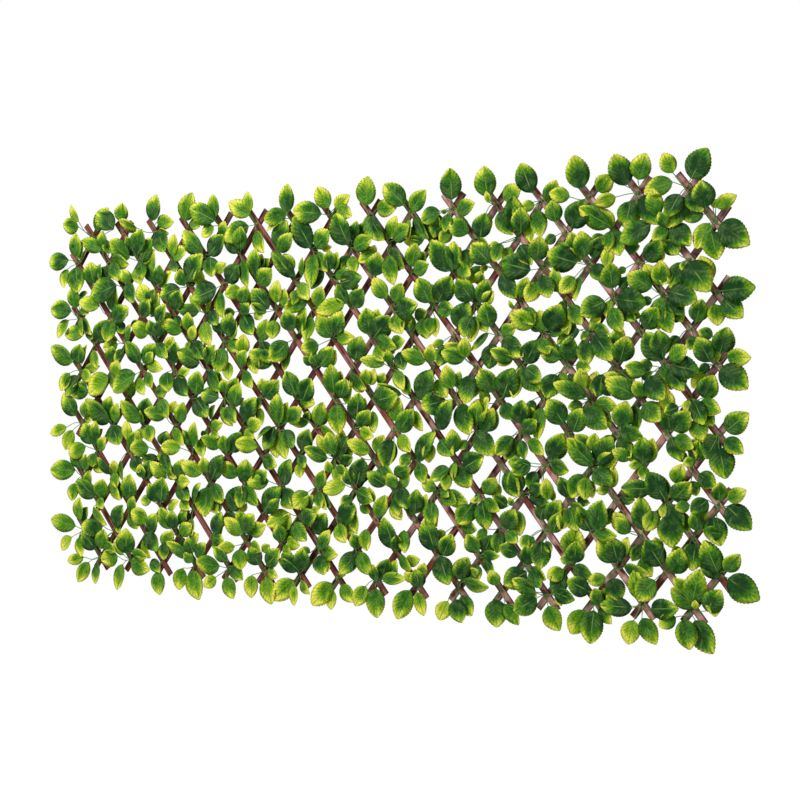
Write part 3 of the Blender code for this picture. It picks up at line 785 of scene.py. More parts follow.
    (1, 4): ((85, 333, 65, 334, 14, 3, 5), (86, 330, 93, 339, 7, 1, 1), (97, 342, 110, 320, 17, 3, 2),
        (93, 350, 98, 369, 9, 3, 6)),
    (3, 4): ((127, 342, 131, 324, 7, 2, 4), (131, 326, 140, 321, 6, 1, 2),
        (124, 350, 114, 361, 8, 2, 2), (118, 340, 105, 338, 8, 1, 6), (118, 344, 103, 348, 12, 2, 5)),
    (5, 4): ((158, 324, 166, 304, 12, 3, 2), (171, 320, 164, 313, 7, 1, 7),
        (149, 333, 132, 326, 16, 3, 6), (155, 336, 149, 320, 11, 3, 2), (158, 337, 161, 320, 12, 3, 1),
        (158, 344, 168, 358, 12, 4, 3)),
    (7, 4): ((182, 332, 163, 321, 13, 3, 5), (189, 332, 188, 312, 11, 3, 4),
        (191, 340, 195, 325, 9, 3, 7), (193, 342, 204, 359, 15, 3, 1), (205, 341, 207, 356, 4, 3, 7),
        (190, 342, 186, 350, 5, 2, 6)),
    (9, 4): ((227, 336, 231, 313, 15, 4, 3), (222, 332, 212, 322, 8, 2, 1),
        (231, 340, 236, 320, 10, 3, 6), (224, 348, 217, 373, 16, 3, 4), (228, 362, 229, 380, 10, 2, 6),
        (229, 341, 240, 351, 12, 3, 5)),
    (11, 4): ((262, 341, 267, 319, 13, 3, 4), (262, 342, 271, 363, 15, 3, 2),
        (263, 350, 271, 361, 8, 4, 5), (252, 352, 257, 374, 12, 3, 5)),
    (13, 4): ((293, 331, 286, 310, 19, 4, 2), (299, 333, 306, 308, 11, 2, 5),
        (288, 342, 271, 361, 18, 4, 3), (288, 350, 284, 371, 8, 2, 3)),
    (15, 4): ((331, 338, 318, 314, 16, 3, 4), (335, 335, 342, 311, 16, 4, 3),
        (337, 338, 355, 337, 13, 3, 6), (319, 345, 301, 349, 19, 3, 4)),
    (17, 4): ((371, 335, 366, 308, 19, 3, 3), (376, 330, 378, 309, 12, 1, 4),
        (375, 336, 390, 316, 21, 4, 1), (377, 338, 397, 348, 13, 4, 3), (391, 344, 405, 341, 13, 2, 4),
        (392, 344, 394, 354, 9, 1, 4), (375, 347, 386, 361, 13, 2, 7)),
    (19, 4): ((410, 332, 407, 312, 13, 2, 2), (412, 331, 414, 318, 7, 1, 7),
        (415, 318, 427, 311, 12, 1, 4), (413, 346, 425, 359, 6, 2, 4)),
    (21, 4): ((457, 328, 469, 302, 20, 2, 1), (444, 341, 432, 346, 7, 2, 6),
        (448, 345, 438, 366, 14, 1, 0), (460, 346, 443, 346, 7, 1, 8)),
    (23, 4): ((490, 327, 485, 302, 17, 3, 3), (501, 333, 516, 327, 13, 3, 5),
        (489, 333, 471, 351, 6, 2, 3), (503, 338, 523.5, 357, 17, 3, 2),
        (494, 344, 489, 369, 17, 2, 0)),
    (25, 4): ((549, 330, 561, 304, 21, 4, 0), (545, 331, 539, 310, 13, 1, 6),
        (549, 334, 569, 326, 10, 2, 3), (541, 338, 549, 354, 14, 3, 4), (538, 325, 531, 310, 10, 1, 4),
        (534, 326, 510, 313, 18, 3, 5), (541, 331, 531, 320, 11, 1, 1)),
    (27, 4): ((590, 329, 601, 317, 9, 1, 8), (594, 327, 610, 334, 11, 2, 4),
        (580, 330, 557, 344, 12, 2, 2), (589, 331, 581, 340, 6, 1, 4),
        (594, 334, 612.5, 361, 19, 3, 1), (584, 341, 588, 365, 16, 2, 4),
        (575, 332, 568, 322, 9, 1, 5)),
    (29, 4): ((645, 329, 657.5, 307, 18, 3, 3), (640, 318, 632, 311, 8, 1, 7),
        (632, 338, 617, 350, 12, 1, 6), (644, 338, 657, 350, 12, 1, 4)),
    (31, 4): ((696, 322, 702, 299, 18, 3, 3), (680, 337, 669, 346, 11, 1, 2),
        (694, 336, 690, 350, 10, 1, 3), (672, 320, 683, 314, 10, 1, 1)),
    (0, 5): ((79, 364, 80, 344, 15, 3, 3), (83, 362, 87, 345, 6, 2, 3), (73, 362, 51, 347, 16, 3, 4),
        (82, 371, 92, 381, 11, 3, 5), (85, 370, 100, 366, 9, 2, 6), (70, 373, 61, 391, 11, 3, 6),
        (79, 376, 66, 396, 13, 3, 1)),
    (2, 5): ((111, 363, 113, 346, 14, 2, 2), (113, 375, 119, 361, 11, 3, 4),
        (108, 375, 89, 394, 19, 3, 4), (110, 374, 115, 390, 6, 2, 3)),
    (4, 5): ((136, 374, 113, 391, 19, 4, 4), (141, 362, 126, 342, 14, 3, 3),
        (143, 363, 156, 344, 15, 3, 2), (147, 363, 153, 352, 9, 4, 6), (147, 364, 163, 369, 11, 3, 7),
        (138, 378, 144.5, 395, 10, 3, 6), (147, 372, 152, 388, 9, 3, 5)),
    (6, 5): ((173, 364, 176, 342, 14, 3, 1), (167, 350, 174, 337, 11, 2, 8),
        (167, 372, 168, 392, 15, 3, 3), (178, 375, 190, 370, 9, 2, 7), (177, 376, 188, 396, 15, 2, 0)),
    (8, 5): ((200, 363, 177, 352, 17, 3, 2), (207, 364, 215, 345, 14, 3, 2),
        (209, 370, 220, 392, 12, 3, 2), (216, 372, 223, 385, 7, 1, 4)),
    (10, 5): ((240, 366, 246, 350, 14, 4, 4), (243, 354, 244, 334, 13, 3, 7),
        (244, 371, 253, 388, 10, 3, 4)),
    (12, 5): ((273, 364, 249, 352, 17, 3, 3),),
    (14, 5): ((318, 366, 312, 352, 14, 2, 1), (320, 366, 333, 347, 16, 3, 3),
        (329, 367, 336, 350, 9, 2, 5), (314, 364, 303, 357, 8, 2, 1)),
    (16, 5): ((355, 361, 361, 336, 18, 4, 2), (350, 375, 367, 389, 11, 3, 3),
        (354, 381, 364, 392, 9, 2, 6)),
    (18, 5): ((390, 363, 387, 350, 12, 4, 5), (385, 364, 360, 359, 11, 3, 6),
        (399, 352, 404, 370, 12, 2, 0), (396, 370, 404, 390, 11, 3, 5), (403, 375, 411, 393, 8, 2, 2)),
    (20, 5): ((431, 362, 431, 344, 12, 3, 6), (436, 380, 447, 398, 14, 2, 6),
        (426, 361, 401, 352, 14, 3, 4)),
    (22, 5): ((465, 359, 441, 352, 15, 3, 4), (465, 358, 465, 337, 12, 3, 6),
        (472, 375, 465, 404, 17, 3, 1), (478, 378, 475, 397, 9, 2, 6)),
    (24, 5): ((514, 359, 490, 350, 13, 4, 3), (513, 358, 497, 364, 9, 2, 6),
        (525, 363, 538, 340, 18, 3, 1), (526, 368, 542, 381, 17, 3, 3), (522, 370, 540, 391, 17, 2, 3),
        (522, 368, 517, 377, 5, 1, 7), (519, 378, 513, 398, 10, 3, 5)),
    (26, 5): ((568, 361, 571, 336, 16, 3, 3), (561, 358, 540, 350, 15, 2, 4),
        (564, 360, 553, 343, 9, 1, 1), (576, 365, 591, 369, 12, 3, 6), (569, 374, 574, 386, 9, 1, 1),
        (556, 374, 546, 398, 19, 2, 2), (561, 373, 567, 383, 8, 1, 6)),
    (28, 5): ((620, 362, 627, 336, 21, 3, 2), (603, 374, 597, 397, 15, 2, 0),
        (620, 376, 604, 375, 7, 1, 8), (620, 371, 635, 384, 12, 2, 0), (608, 362, 612, 346, 7, 1, 7),
        (611, 396, 604, 380, 12, 1, 1), (613, 352, 622, 327, 15, 1, 3)),
    (30, 5): ((663, 356, 658, 330, 19, 4, 3), (662, 361, 645, 332, 21, 2, 2),
        (670, 359, 688, 347, 15, 4, 4), (671, 365, 700, 371, 22, 3, 1), (669, 368, 685, 391, 15, 3, 1),
        (664, 367, 672, 390, 13, 1, 5), (653, 366, 638, 364, 14, 2, 3), (646, 372, 625, 366, 15, 3, 4),
        (648, 377, 664, 400, 24, 3, 0), (655, 375, 668, 397, 12, 2, 7)),
    (32, 5): ((713, 336, 698, 331, 14, 2, 4), (720, 353, 728, 327, 21, 3, 3),
        (711, 362, 697, 337, 19, 3, 1), (716, 362, 715, 343, 9, 1, 7),
        (727, 357, 751.5, 357.5, 16, 3, 6), (721, 367, 748, 389, 24, 3, 2),
        (706, 373, 692, 388, 14, 1, 7), (709, 364, 700, 373, 9, 1, 1)),
    (1, 6): ((89, 391, 70, 392, 14, 3, 4), (87, 390, 77, 383, 10, 3, 1)),
    (3, 6): ((132, 397, 131, 378, 10, 2, 4),),
    (5, 6): ((160, 399, 168, 418, 13, 3, 4), (160, 384, 164, 398, 11, 1, 3)),
    (7, 6): ((196, 395, 199, 371, 16, 3, 4), (196, 398, 208, 417, 17, 4, 1)),
    (9, 6): ((219, 398, 201, 393, 17, 3, 2), (226, 393, 223, 379, 11, 4, 4),
        (230, 397, 238, 378, 14, 2, 1), (234, 407, 240, 383, 14, 3, 3), (238, 404, 244, 398, 6, 1, 8),
        (221, 408, 233, 426, 10, 2, 7), (226, 407, 236, 423, 12, 4, 4)),
    (11, 6): ((265, 392, 262, 378, 14, 4, 5), (265, 398, 279, 380, 17, 3, 3),
        (259, 397, 259, 409, 7, 2, 3), (260, 408, 262, 425, 8, 2, 6)),
    (13, 6): ((296, 396, 286, 371, 16, 3, 3), (298, 394, 296, 375, 7, 1, 8),
        (303, 400, 311, 378, 19, 3, 1), (300, 397, 315, 404, 15, 2, 4)),
    (15, 6): ((334, 394, 331, 364, 16, 3, 3), (340, 398, 347, 379, 16, 4, 3),
        (338, 382, 341, 371, 8, 1, 5), (346, 404, 352, 380, 9, 1, 7), (337, 404, 339, 434, 17, 3, 5)),
    (17, 6): ((366, 385, 366, 369, 11, 3, 5), (370, 385, 375, 369, 10, 2, 8),
        (379, 384, 385, 373, 11, 1, 5), (375, 401, 398, 395, 23, 4, 2)),
    (19, 6): ((402, 394, 377, 384, 9, 2, 4), (419, 400, 432, 370, 19, 3, 1),
        (411, 393, 401, 389, 5, 2, 8), (414, 411, 423, 431, 9, 2, 6)),
    (21, 6): ((452, 389, 446, 365, 14, 3, 5), (457, 388, 460, 371, 8, 2, 4),
        (446, 400, 421, 407, 21, 3, 2), (459, 405, 470, 435, 17, 3, 3), (461, 404, 471, 420, 9, 1, 1)),
    (23, 6): ((494, 392, 480, 369, 18, 3, 3), (503, 397, 514, 368, 21, 3, 1),
        (488, 404, 482, 388, 9, 1, 5), (503, 403, 512, 420, 13, 1, 3)),
    (25, 6): ((542, 407, 537, 441, 11, 2, 4), (533, 400, 530, 412, 9, 1, 2),
        (541, 390, 534, 378, 10, 1, 1), (549, 391, 553, 379, 9, 1, 5)),
    (27, 6): ((588, 396, 553, 383, 15, 4, 3), (583, 390, 580, 368, 14, 3, 7),
        (593, 393, 597, 371, 13, 1, 8), (583, 404, 568, 408, 10, 2, 3), (585, 408, 607, 429, 20, 3, 3),
        (595, 408, 611, 427, 16, 1, 1), (595, 404, 617, 406, 15, 2, 4), (577, 397, 570, 385, 9, 1, 2)),
    (29, 6): ((636, 396, 605, 379, 20, 3, 3), (643, 396, 634, 381, 14, 4, 5),
        (643, 404, 661, 421, 20, 3, 4), (635, 405, 638, 430, 10, 1, 2), (642, 379, 652, 371, 9, 1, 3)),
    (31, 6): ((703, 398, 714.5, 375, 19, 3, 2), (700, 402, 721, 412, 15, 3, 4),
        (694, 400, 704, 425, 14, 3, 0), (696, 418, 703, 441, 16, 2, 4), (701, 408, 714, 426, 13, 1, 1),
        (679, 407, 664, 413, 14, 2, 2), (689, 400, 685, 412, 7, 1, 8), (686, 384, 679, 376, 8, 2, 3)),
    (0, 7): ((76, 416, 63.5, 393, 15, 3, 3), (85, 418, 86, 401, 10, 3, 4),
        (67, 427, 50.5, 434, 10, 3, 7), (73, 430, 66, 450, 12, 3, 6), (85, 418, 92, 421, 6, 1, 8)),
    (2, 7): ((111, 421, 85, 400, 18, 3, 2), (108, 416, 111, 396, 12, 3, 4),
        (115, 423, 118, 403, 11, 3, 4), (112, 425, 119, 445, 18, 3, 2)),
    (4, 7): ((142, 421, 120.5, 401, 15, 3, 4), (145, 420, 148, 398, 16, 2, 2),
        (144, 422, 140, 410, 4, 3, 7), (148, 425, 151, 442, 12, 4, 6), (144, 429, 136, 443, 9, 2, 8)),
    (6, 7): ((166, 416, 144, 411, 13, 3, 5), (180, 423, 184, 402, 12, 3, 4),
        (172, 413, 176, 401, 9, 1, 8), (173, 429, 184, 445, 11, 3, 6)),
    (8, 7): ((210, 419, 215, 405, 6, 2, 4), (211, 427, 223, 423, 10, 3, 5),
        (212, 430, 219, 438, 10, 2, 6), (201, 435, 208, 432, 5, 1, 1)),
    (10, 7): ((244, 422, 256, 397, 16, 3, 1), (248, 427, 263, 422, 14, 3, 6),
        (244, 432, 255, 438, 12, 2, 8)),
    (12, 7): ((279, 424, 278.5, 393, 14, 3, 4), (283, 425, 288, 402, 10, 2, 5),
        (288, 422, 302, 408, 15, 4, 4), (275, 427, 264, 450, 13, 3, 1), (272, 427, 257, 440, 4, 3, 4),
        (275, 436, 277, 458, 12, 2, 5), (280, 432, 286, 459, 13, 3, 6),
        (284, 430, 293, 448, 14, 4, 3)),
    (14, 7): ((318, 425, 323, 402, 14, 3, 4), (322, 425, 326, 408, 9, 2, 3),
        (321, 427, 336, 436, 9, 2, 6), (309, 421, 292, 424, 9, 2, 5), (306, 422, 309, 411, 7, 1, 2)),
    (16, 7): ((356, 421, 359, 393, 18, 4, 1), (361, 410, 365, 398, 7, 1, 6),
        (359, 427, 370, 410, 14, 3, 3), (373, 411, 374, 433, 9, 2, 6), (360, 430, 374, 437, 12, 3, 8)),
    (18, 7): ((393, 421, 399, 397, 15, 3, 5), (399, 432, 413, 409, 17, 4, 3),
        (399, 435, 411, 452, 12, 3, 7), (391, 439, 384, 467, 18, 3, 1), (394, 441, 388, 467, 8, 2, 7)),
    (20, 7): ((440, 430, 452, 399, 15, 3, 0), (440, 440, 453, 456, 16, 3, 4),
        (430, 443, 429, 463, 12, 3, 5)),
    (22, 7): ((476, 426, 478, 399, 14, 2, 4), (482, 432, 494, 408, 15, 3, 3),
        (485, 431, 497, 411, 15, 2, 2), (476, 433, 494, 456, 19, 3, 3), (467, 440, 461, 450, 8, 1, 5),
        (476, 424, 489, 397, 13, 1, 5)),
    (24, 7): ((520, 424, 522, 400, 20, 3, 1), (533, 420, 531, 407, 9, 1, 1),
        (524, 432, 537, 420, 16, 3, 2), (512, 436, 496, 455, 15, 3, 4), (513, 437, 506, 460, 15, 1, 1),
        (521, 440, 525, 459, 9, 2, 3), (519, 441, 518, 460, 6, 1, 0), (529, 439, 544, 455, 11, 2, 5)),
    (26, 7): ((564, 424, 548, 399, 20, 3, 2), (573, 432, 582, 408, 17, 3, 2),
        (563, 437, 551, 452, 12, 1, 5), (572, 438, 582, 448, 12, 1, 2)),
    (28, 7): ((620, 428, 627, 401, 18, 3, 3), (620, 430, 643, 437, 15, 3, 3),
        (620, 436, 631, 458, 13, 2, 3), (622, 438, 635, 462, 12, 1, 0),
        (614, 436, 603, 447, 12, 1, 3)),
    (30, 7): ((674, 431, 690, 411, 19, 3, 3), (668, 412, 667, 389, 13, 2, 7),
        (662, 411, 655, 402, 9, 1, 7), (668, 430, 663, 409, 13, 1, 4), (675, 437, 694, 448, 14, 3, 4),
        (671, 437, 682, 461, 16, 2, 1)),
    (32, 7): ((726, 431, 749, 413, 20, 3, 3), (719, 447, 726, 479, 22, 3, 2),
        (717, 438, 706, 459, 17, 2, 0), (712, 437, 697, 460, 14, 1, 1),
        (725, 439, 743.5, 453.5, 15, 3, 4), (716, 437, 701, 441, 9, 2, 5)),
    (1, 8): ((94, 444, 84, 423, 16, 3, 2), (95, 444, 96, 421, 12, 3, 3), (97, 437, 103, 429, 6, 1, 1),
        (99, 450, 106, 437, 10, 4, 5), (86, 446, 69, 455, 14, 3, 6), (95, 453, 92, 467, 10, 3, 4),
        (94, 462, 104, 472, 9, 1, 6)),
    (3, 8): ((129, 441, 127, 420, 10, 2, 8), (127, 442, 129, 430, 8, 1, 0),
        (130, 449, 139, 431, 14, 3, 4), (134, 456, 140, 473, 12, 3, 2), (121, 460, 123, 481, 6, 2, 5)),
    (5, 8): ((149, 447, 130, 449, 16, 3, 5), (163, 446, 167, 431, 14, 3, 1),
        (163, 453, 171, 474, 12, 3, 2), (161, 452, 160, 462, 5, 1, 7)),
    (7, 8): ((181, 448, 161, 447, 14, 3, 6), (195, 448, 195, 422, 11, 3, 4),
        (192, 445, 183, 430, 10, 2, 2), (199, 440, 203, 457, 10, 3, 6)),
    (9, 8): ((220, 447, 201, 437, 12, 3, 5), (227, 452, 223, 435, 13, 4, 4),
        (231, 452, 241, 432, 15, 3, 0)),
    (11, 8): ((258, 446, 235, 443, 15, 3, 6), (263, 458, 277, 466, 14, 3, 4)),
    (13, 8): ((303, 452, 309, 429, 15, 3, 1), (300, 455, 305, 468, 10, 3, 4),
        (300, 463, 300, 478, 9, 3, 7)),
    (15, 8): ((334, 455, 328, 432, 14, 4, 4), (328, 454, 318, 434, 10, 3, 7),
        (340, 445, 343, 430, 9, 1, 7), (339, 457, 348, 436, 13, 2, 0), (340, 463, 353, 457, 11, 2, 2),
        (332, 473, 327, 461, 8, 2, 5), (335, 466, 342, 483, 10, 2, 6), (337, 467, 347, 472, 8, 3, 4),
        (328, 458, 304, 448, 13, 3, 3)),
    (17, 8): ((370, 452, 347, 441, 14, 3, 6), (376, 453, 384, 435, 13, 1, 6),
        (352, 449, 346, 458, 8, 1, 8), (379, 468, 384, 481, 10, 1, 6), (380, 466, 395, 479, 11, 3, 4)),
    (19, 8): ((417, 461, 436, 432, 14, 3, 1), (410, 454, 401, 467, 10, 3, 5),
        (419, 463, 424, 483, 12, 3, 4)),
    (21, 8): ((455, 453, 452, 429, 14, 3, 4), (464, 468, 484, 456, 20, 3, 1),
        (460, 468, 471, 487, 15, 3, 3), (456, 463, 453, 481, 6, 2, 7), (449, 468, 430, 480, 11, 2, 3),
        (447, 474, 446, 491, 10, 3, 5), (459, 466, 469, 488, 18, 2, 2)),
    (23, 8): ((505, 472, 519, 497, 15, 2, 4), (507, 470, 510, 480, 7, 1, 0),
        (499, 484, 494, 499, 9, 1, 7)),
    (25, 8): ((551, 460, 563, 433, 20, 3, 1), (551, 463, 569, 471, 17, 3, 3),
        (548, 500, 546, 478, 12, 3, 6), (553, 501, 552, 488, 6, 1, 7), (523, 463, 508, 462, 13, 4, 4),
        (531, 463, 512, 473, 15, 3, 3), (536, 471, 530, 490, 12, 1, 2)),
    (27, 8): ((593, 465, 567, 438, 17, 3, 3), (598, 464, 612, 436, 20, 2, 1),
        (598, 466, 619, 455, 17, 1, 6), (590, 449, 575, 435, 14, 3, 4), (594, 452, 595, 433, 12, 2, 7),
        (594, 470, 612, 485, 19, 3, 3), (583, 474, 571, 498, 15, 2, 3), (586, 477, 585, 500, 14, 3, 6),
        (589, 480, 593, 498, 9, 1, 5)),
    (29, 8): ((643, 464, 644, 437, 17, 3, 3), (649, 463, 653, 438, 12, 1, 6),
        (642, 464, 629, 466, 8, 2, 5), (644, 466, 643, 480, 14, 3, 5), (631, 459, 612, 450, 12, 3, 5)),
    (31, 8): ((694, 459, 683, 465, 11, 3, 6), (695, 460, 691, 449, 7, 2, 8),
        (696, 461, 699, 440, 14, 2, 2), (699, 474, 716, 487, 20, 2, 2), (691, 481, 697, 496, 11, 1, 3),
        (692, 448, 698, 438, 9, 1, 6), (687, 460, 676, 452, 9, 1, 1)),
    (0, 9): ((80, 468, 73, 449, 11, 2, 3), (84, 471, 86, 454, 11, 3, 4),
        (76, 470, 50.5, 470, 18, 3, 4), (86, 488, 90, 470, 9, 2, 4), (75, 483, 72, 501, 10, 3, 6)),
    (2, 9): ((112, 473, 97, 457, 9, 3, 1), (115, 474, 114, 460, 9, 1, 7),
        (114, 472, 117, 488, 9, 4, 5), (111, 480, 121, 500, 10, 3, 5), (118, 482, 122, 499, 8, 2, 1)),
    (4, 9): ((158, 457, 141, 460, 7, 1, 2), (143, 478, 140, 464, 9, 3, 4),
        (147, 478, 150, 460, 12, 2, 1), (148, 478, 155, 471, 5, 1, 7)),
    (6, 9): ((167, 478, 150, 462, 13, 3, 6), (167, 473, 177, 478, 7, 2, 8),
        (178, 481, 190, 482, 13, 2, 7), (178, 485, 189, 501, 13, 3, 2),
        (178, 479, 184, 459, 13, 2, 3)),
    (8, 9): ((206, 473, 203, 457, 11, 4, 5), (202, 474, 181, 463, 14, 3, 6),
        (212, 479, 223, 455, 15, 3, 1), (207, 487, 205, 517, 18, 3, 3), (211, 492, 217, 514, 12, 2, 3),
        (219, 503, 220, 512, 5, 1, 8), (212, 484, 223, 503, 13, 4, 3)),
    (10, 9): ((238, 476, 218, 463, 14, 2, 4), (247, 482, 246, 459, 19, 4, 4),
        (257, 481, 267, 471, 13, 3, 3), (244, 487, 239, 508, 12, 4, 3), (245, 486, 258, 506, 12, 3, 5),
        (247, 504, 240, 511, 10, 1, 8)),
    (12, 9): ((269, 481, 247, 483, 14, 3, 6), (284, 485, 291, 459, 14, 3, 1),
        (284, 488, 294, 509, 14, 3, 3), (283, 497, 291, 509, 10, 3, 6)),
    (14, 9): ((319, 489, 324, 470, 11, 3, 4), (321, 491, 331, 508, 8, 2, 1),
        (320, 492, 327, 510, 7, 2, 7), (318, 492, 321, 508, 10, 3, 4), (308, 492, 294, 508, 16, 3, 6),
        (304, 508, 313, 495, 10, 2, 4)),
    (16, 9): ((357, 484, 363, 458, 19, 3, 0), (352, 485, 347, 469, 14, 4, 3),
        (346, 485, 323, 491, 14, 3, 7), (357, 491, 373, 501, 15, 4, 3), (374, 502, 369, 487, 7, 2, 7),
        (352, 497, 341, 506, 10, 2, 4), (360, 506, 370, 513, 7, 1, 4), (352, 503, 357, 514, 5, 2, 8)),
    (18, 9): ((386, 485, 367, 472, 13, 3, 3), (396, 488, 388, 473, 11, 4, 4),
        (394, 474, 411, 468, 12, 3, 3), (402, 488, 409, 470, 9, 2, 5), (398, 487, 408, 509, 15, 3, 1),
        (392, 503, 402, 520, 12, 2, 7), (395, 496, 399, 516, 9, 3, 3)),
    (20, 9): ((436, 489, 422, 481, 13, 2, 5), (441, 492, 457, 503, 17, 2, 3),
        (441, 489, 449, 497, 8, 3, 3), (431, 502, 434, 526, 14, 3, 4), (435, 503, 437, 527, 7, 1, 8),
        (446, 494, 468, 503, 15, 2, 4)),
    (22, 9): ((485, 494, 496, 478, 15, 3, 4), (472, 505, 458, 524, 18, 3, 3),
        (482, 500, 470, 501, 5, 1, 8), (476, 504, 468, 522, 11, 1, 2), (482, 501, 487, 530, 17, 3, 2),
        (484, 500, 500, 511, 11, 3, 4)),
    (24, 9): ((520, 492, 512, 470, 19, 3, 2), (529, 492, 545, 487, 12, 2, 2),
        (529, 496, 549, 503, 12, 2, 1), (507, 507, 494, 496, 15, 2, 1), (513, 506, 509, 497, 5, 1, 6)),
    (26, 9): ((577, 499, 590, 503, 9, 1, 0), (569, 497, 560, 477, 12, 1, 1),
        (570, 507, 577, 531, 19, 3, 3), (568, 508, 560, 530, 13, 2, 8),
        (571, 505, 585, 512, 10, 1, 3)),
    (28, 9): ((612, 488, 614, 466, 10, 1, 7), (609, 490, 596, 491, 8, 1, 7),
        (621, 497, 635, 500, 12, 1, 1), (612, 508, 606, 525, 10, 1, 1),
        (622, 511, 619, 517, 10, 1, 3)),
    (30, 9): ((676, 484, 682, 464, 14, 2, 5), (673, 500, 691, 482, 19, 3, 3),
        (665, 499, 648, 472, 20, 2, 0), (668, 499, 663, 476, 9, 1, 7), (652, 489, 621, 488, 17, 3, 2),
        (670, 514, 672, 548, 22, 3, 2), (671, 504, 683, 530, 14, 2, 0), (682, 512, 689, 533, 10, 1, 1),
        (665, 505, 662, 518, 7, 1, 8), (690, 505, 675, 508, 14, 3, 4), (656, 511, 646, 531, 15, 2, 5)),
    (32, 9): ((719, 501, 720, 482, 18, 3, 3), (728, 500, 746.5, 490, 13, 3, 6),
        (727, 506, 751.5, 530, 22, 3, 1), (708, 500, 691, 513, 19, 4, 1),
        (712, 517, 721, 546, 20, 2, 3), (722, 534, 703, 531, 16, 3, 3)),
    (1, 10): ((96, 497, 77, 480, 16, 3, 2), (100, 498, 103, 479, 15, 3, 4),
        (99, 498, 103, 509, 11, 4, 6), (93, 508, 107, 525, 10, 3, 5)),
    (3, 10): ((129, 500, 130, 474, 16, 4, 3), (131, 513, 134, 496, 9, 3, 5),
        (129, 513, 138, 529, 11, 3, 4)),
    (5, 10): ((161, 502, 163, 477, 17, 4, 3), (157, 502, 149, 483, 10, 2, 1),
        (152, 500, 141, 501, 12, 1, 5), (168, 509, 179, 501, 8, 2, 7)),
    (7, 10): ((193, 504, 201, 483, 7, 2, 3), (181, 500, 189, 510, 10, 2, 7),
        (190, 511, 180, 516, 10, 1, 1), (192, 518, 192, 536, 7, 2, 6)),
    (9, 10): ((231, 511, 241, 486, 17, 3, 1), (229, 512, 236, 526, 10, 2, 2)),
    (11, 10): ((264, 512, 281, 487, 18, 3, 1), (270, 513, 279, 499, 11, 4, 3)),
    (13, 10): ((288, 512, 267, 526, 14, 3, 6), (301, 520, 317, 514, 19, 3, 2),
        (294, 523, 307, 541, 15, 3, 4), (306, 520, 320, 508, 10, 2, 6)),
    (15, 10): ((339, 519, 356, 508, 20, 3, 1), (353, 511, 357, 534, 10, 2, 5),
        (347, 524, 354, 534, 9, 2, 5), (338, 524, 345.5, 543, 13, 3, 7)),
    (17, 10): ((377, 517, 386, 495, 13, 3, 5), (382, 513, 388, 496, 5, 1, 4)),
    (19, 10): ((415, 514, 417, 489, 15, 3, 2), (424, 508, 427, 494, 6, 2, 6),
        (405, 508, 418, 512, 8, 1, 2)),
    (21, 10): ((461, 524, 477, 530, 13, 2, 3), (446, 532, 434, 537, 8, 1, 7)),
    (23, 10): ((506, 529, 515, 509, 19, 3, 2), (519, 511, 520, 536, 12, 1, 5),
        (500, 532, 497, 553, 13, 2, 2), (507, 531, 518, 543, 12, 3, 4), (487, 529, 477, 540, 8, 2, 3)),
    (25, 10): ((548, 522, 561, 500, 16, 2, 2), (553, 533, 560, 512, 13, 3, 4),
        (542, 541, 540, 569, 18, 2, 3), (546, 541, 551, 553, 7, 1, 4), (540, 520, 545, 501, 12, 1, 0),
        (531, 536, 521, 547, 11, 2, 5), (533, 536, 531, 548, 5, 2, 3)),
    (27, 10): ((596, 531, 602, 500, 17, 3, 3), (595, 534, 617, 536, 13, 3, 5),
        (591, 531, 577, 507, 15, 2, 1), (600, 539, 607, 548, 9, 1, 1)),
    (29, 10): ((643, 531, 641, 496, 18, 3, 2), (630, 533, 615, 518, 14, 3, 4),
        (627, 531, 614, 512, 15, 2, 4), (641, 545, 632, 561, 11, 1, 3), (641, 558, 652, 577, 13, 1, 6),
        (644, 541, 650, 562, 12, 1, 1)),
    (31, 10): ((699, 531, 695, 510, 16, 2, 3), (702, 520, 707, 505, 7, 1, 8),
        (682, 549, 671, 553, 9, 1, 6), (696, 543, 692, 571, 17, 2, 1), (690, 544, 687, 556, 6, 1, 8),
        (700, 548, 704, 562, 10, 1, 1)),
    (0, 11): ((80, 520, 80, 497, 11, 3, 5), (82, 521, 88, 507, 9, 2, 2), (76, 526, 51, 519, 16, 3, 4),
        (72, 537, 62, 550, 10, 3, 8), (79, 537, 82, 557, 10, 3, 6)),
    (2, 11): ((103, 526, 81, 528, 16, 4, 3), (115, 527, 123, 505, 14, 3, 2),
        (117, 525, 121, 533, 6, 2, 7), (104, 543, 116, 552, 10, 3, 4), (107, 537, 110, 546, 7, 1, 1)),
    (4, 11): ((148, 521, 131, 511, 19, 3, 6), (150, 533, 156, 513, 12, 3, 3),
        (152, 534, 158, 519, 6, 2, 7), (147, 533, 158, 551, 14, 3, 1), (142, 541, 151, 558, 9, 3, 7)),
    (6, 11): ((175, 529, 172, 510, 13, 4, 2), (171, 529, 160, 507, 13, 3, 4),
        (180, 534, 192, 524, 13, 3, 5), (183, 537, 184, 556, 9, 1, 0), (179, 524, 187, 511, 9, 2, 4)),
    (8, 11): ((214, 534, 222, 512, 12, 3, 1), (221, 535, 223, 514, 5, 2, 7),
        (212, 536, 224, 541, 10, 3, 3), (215, 540, 217, 551, 7, 2, 4)),
    (10, 11): ((243, 534, 224, 518, 14, 3, 6), (243, 532, 254, 514, 16, 4, 3),
        (248, 530, 254, 519, 7, 1, 2), (235, 546, 217, 549, 11, 3, 8), (250, 533, 266, 525, 14, 3, 6),
        (240, 549, 241, 570, 14, 3, 5), (251, 543, 261, 551, 10, 2, 5),
        (246, 524, 237, 510, 10, 2, 5)),
    (12, 11): ((285, 530, 290, 513, 10, 2, 6), (282, 542, 278, 524, 13, 4, 3),
        (285, 538, 291, 524, 9, 1, 0), (287, 540, 300, 546, 13, 2, 7), (284, 545, 291, 556, 8, 2, 5)),
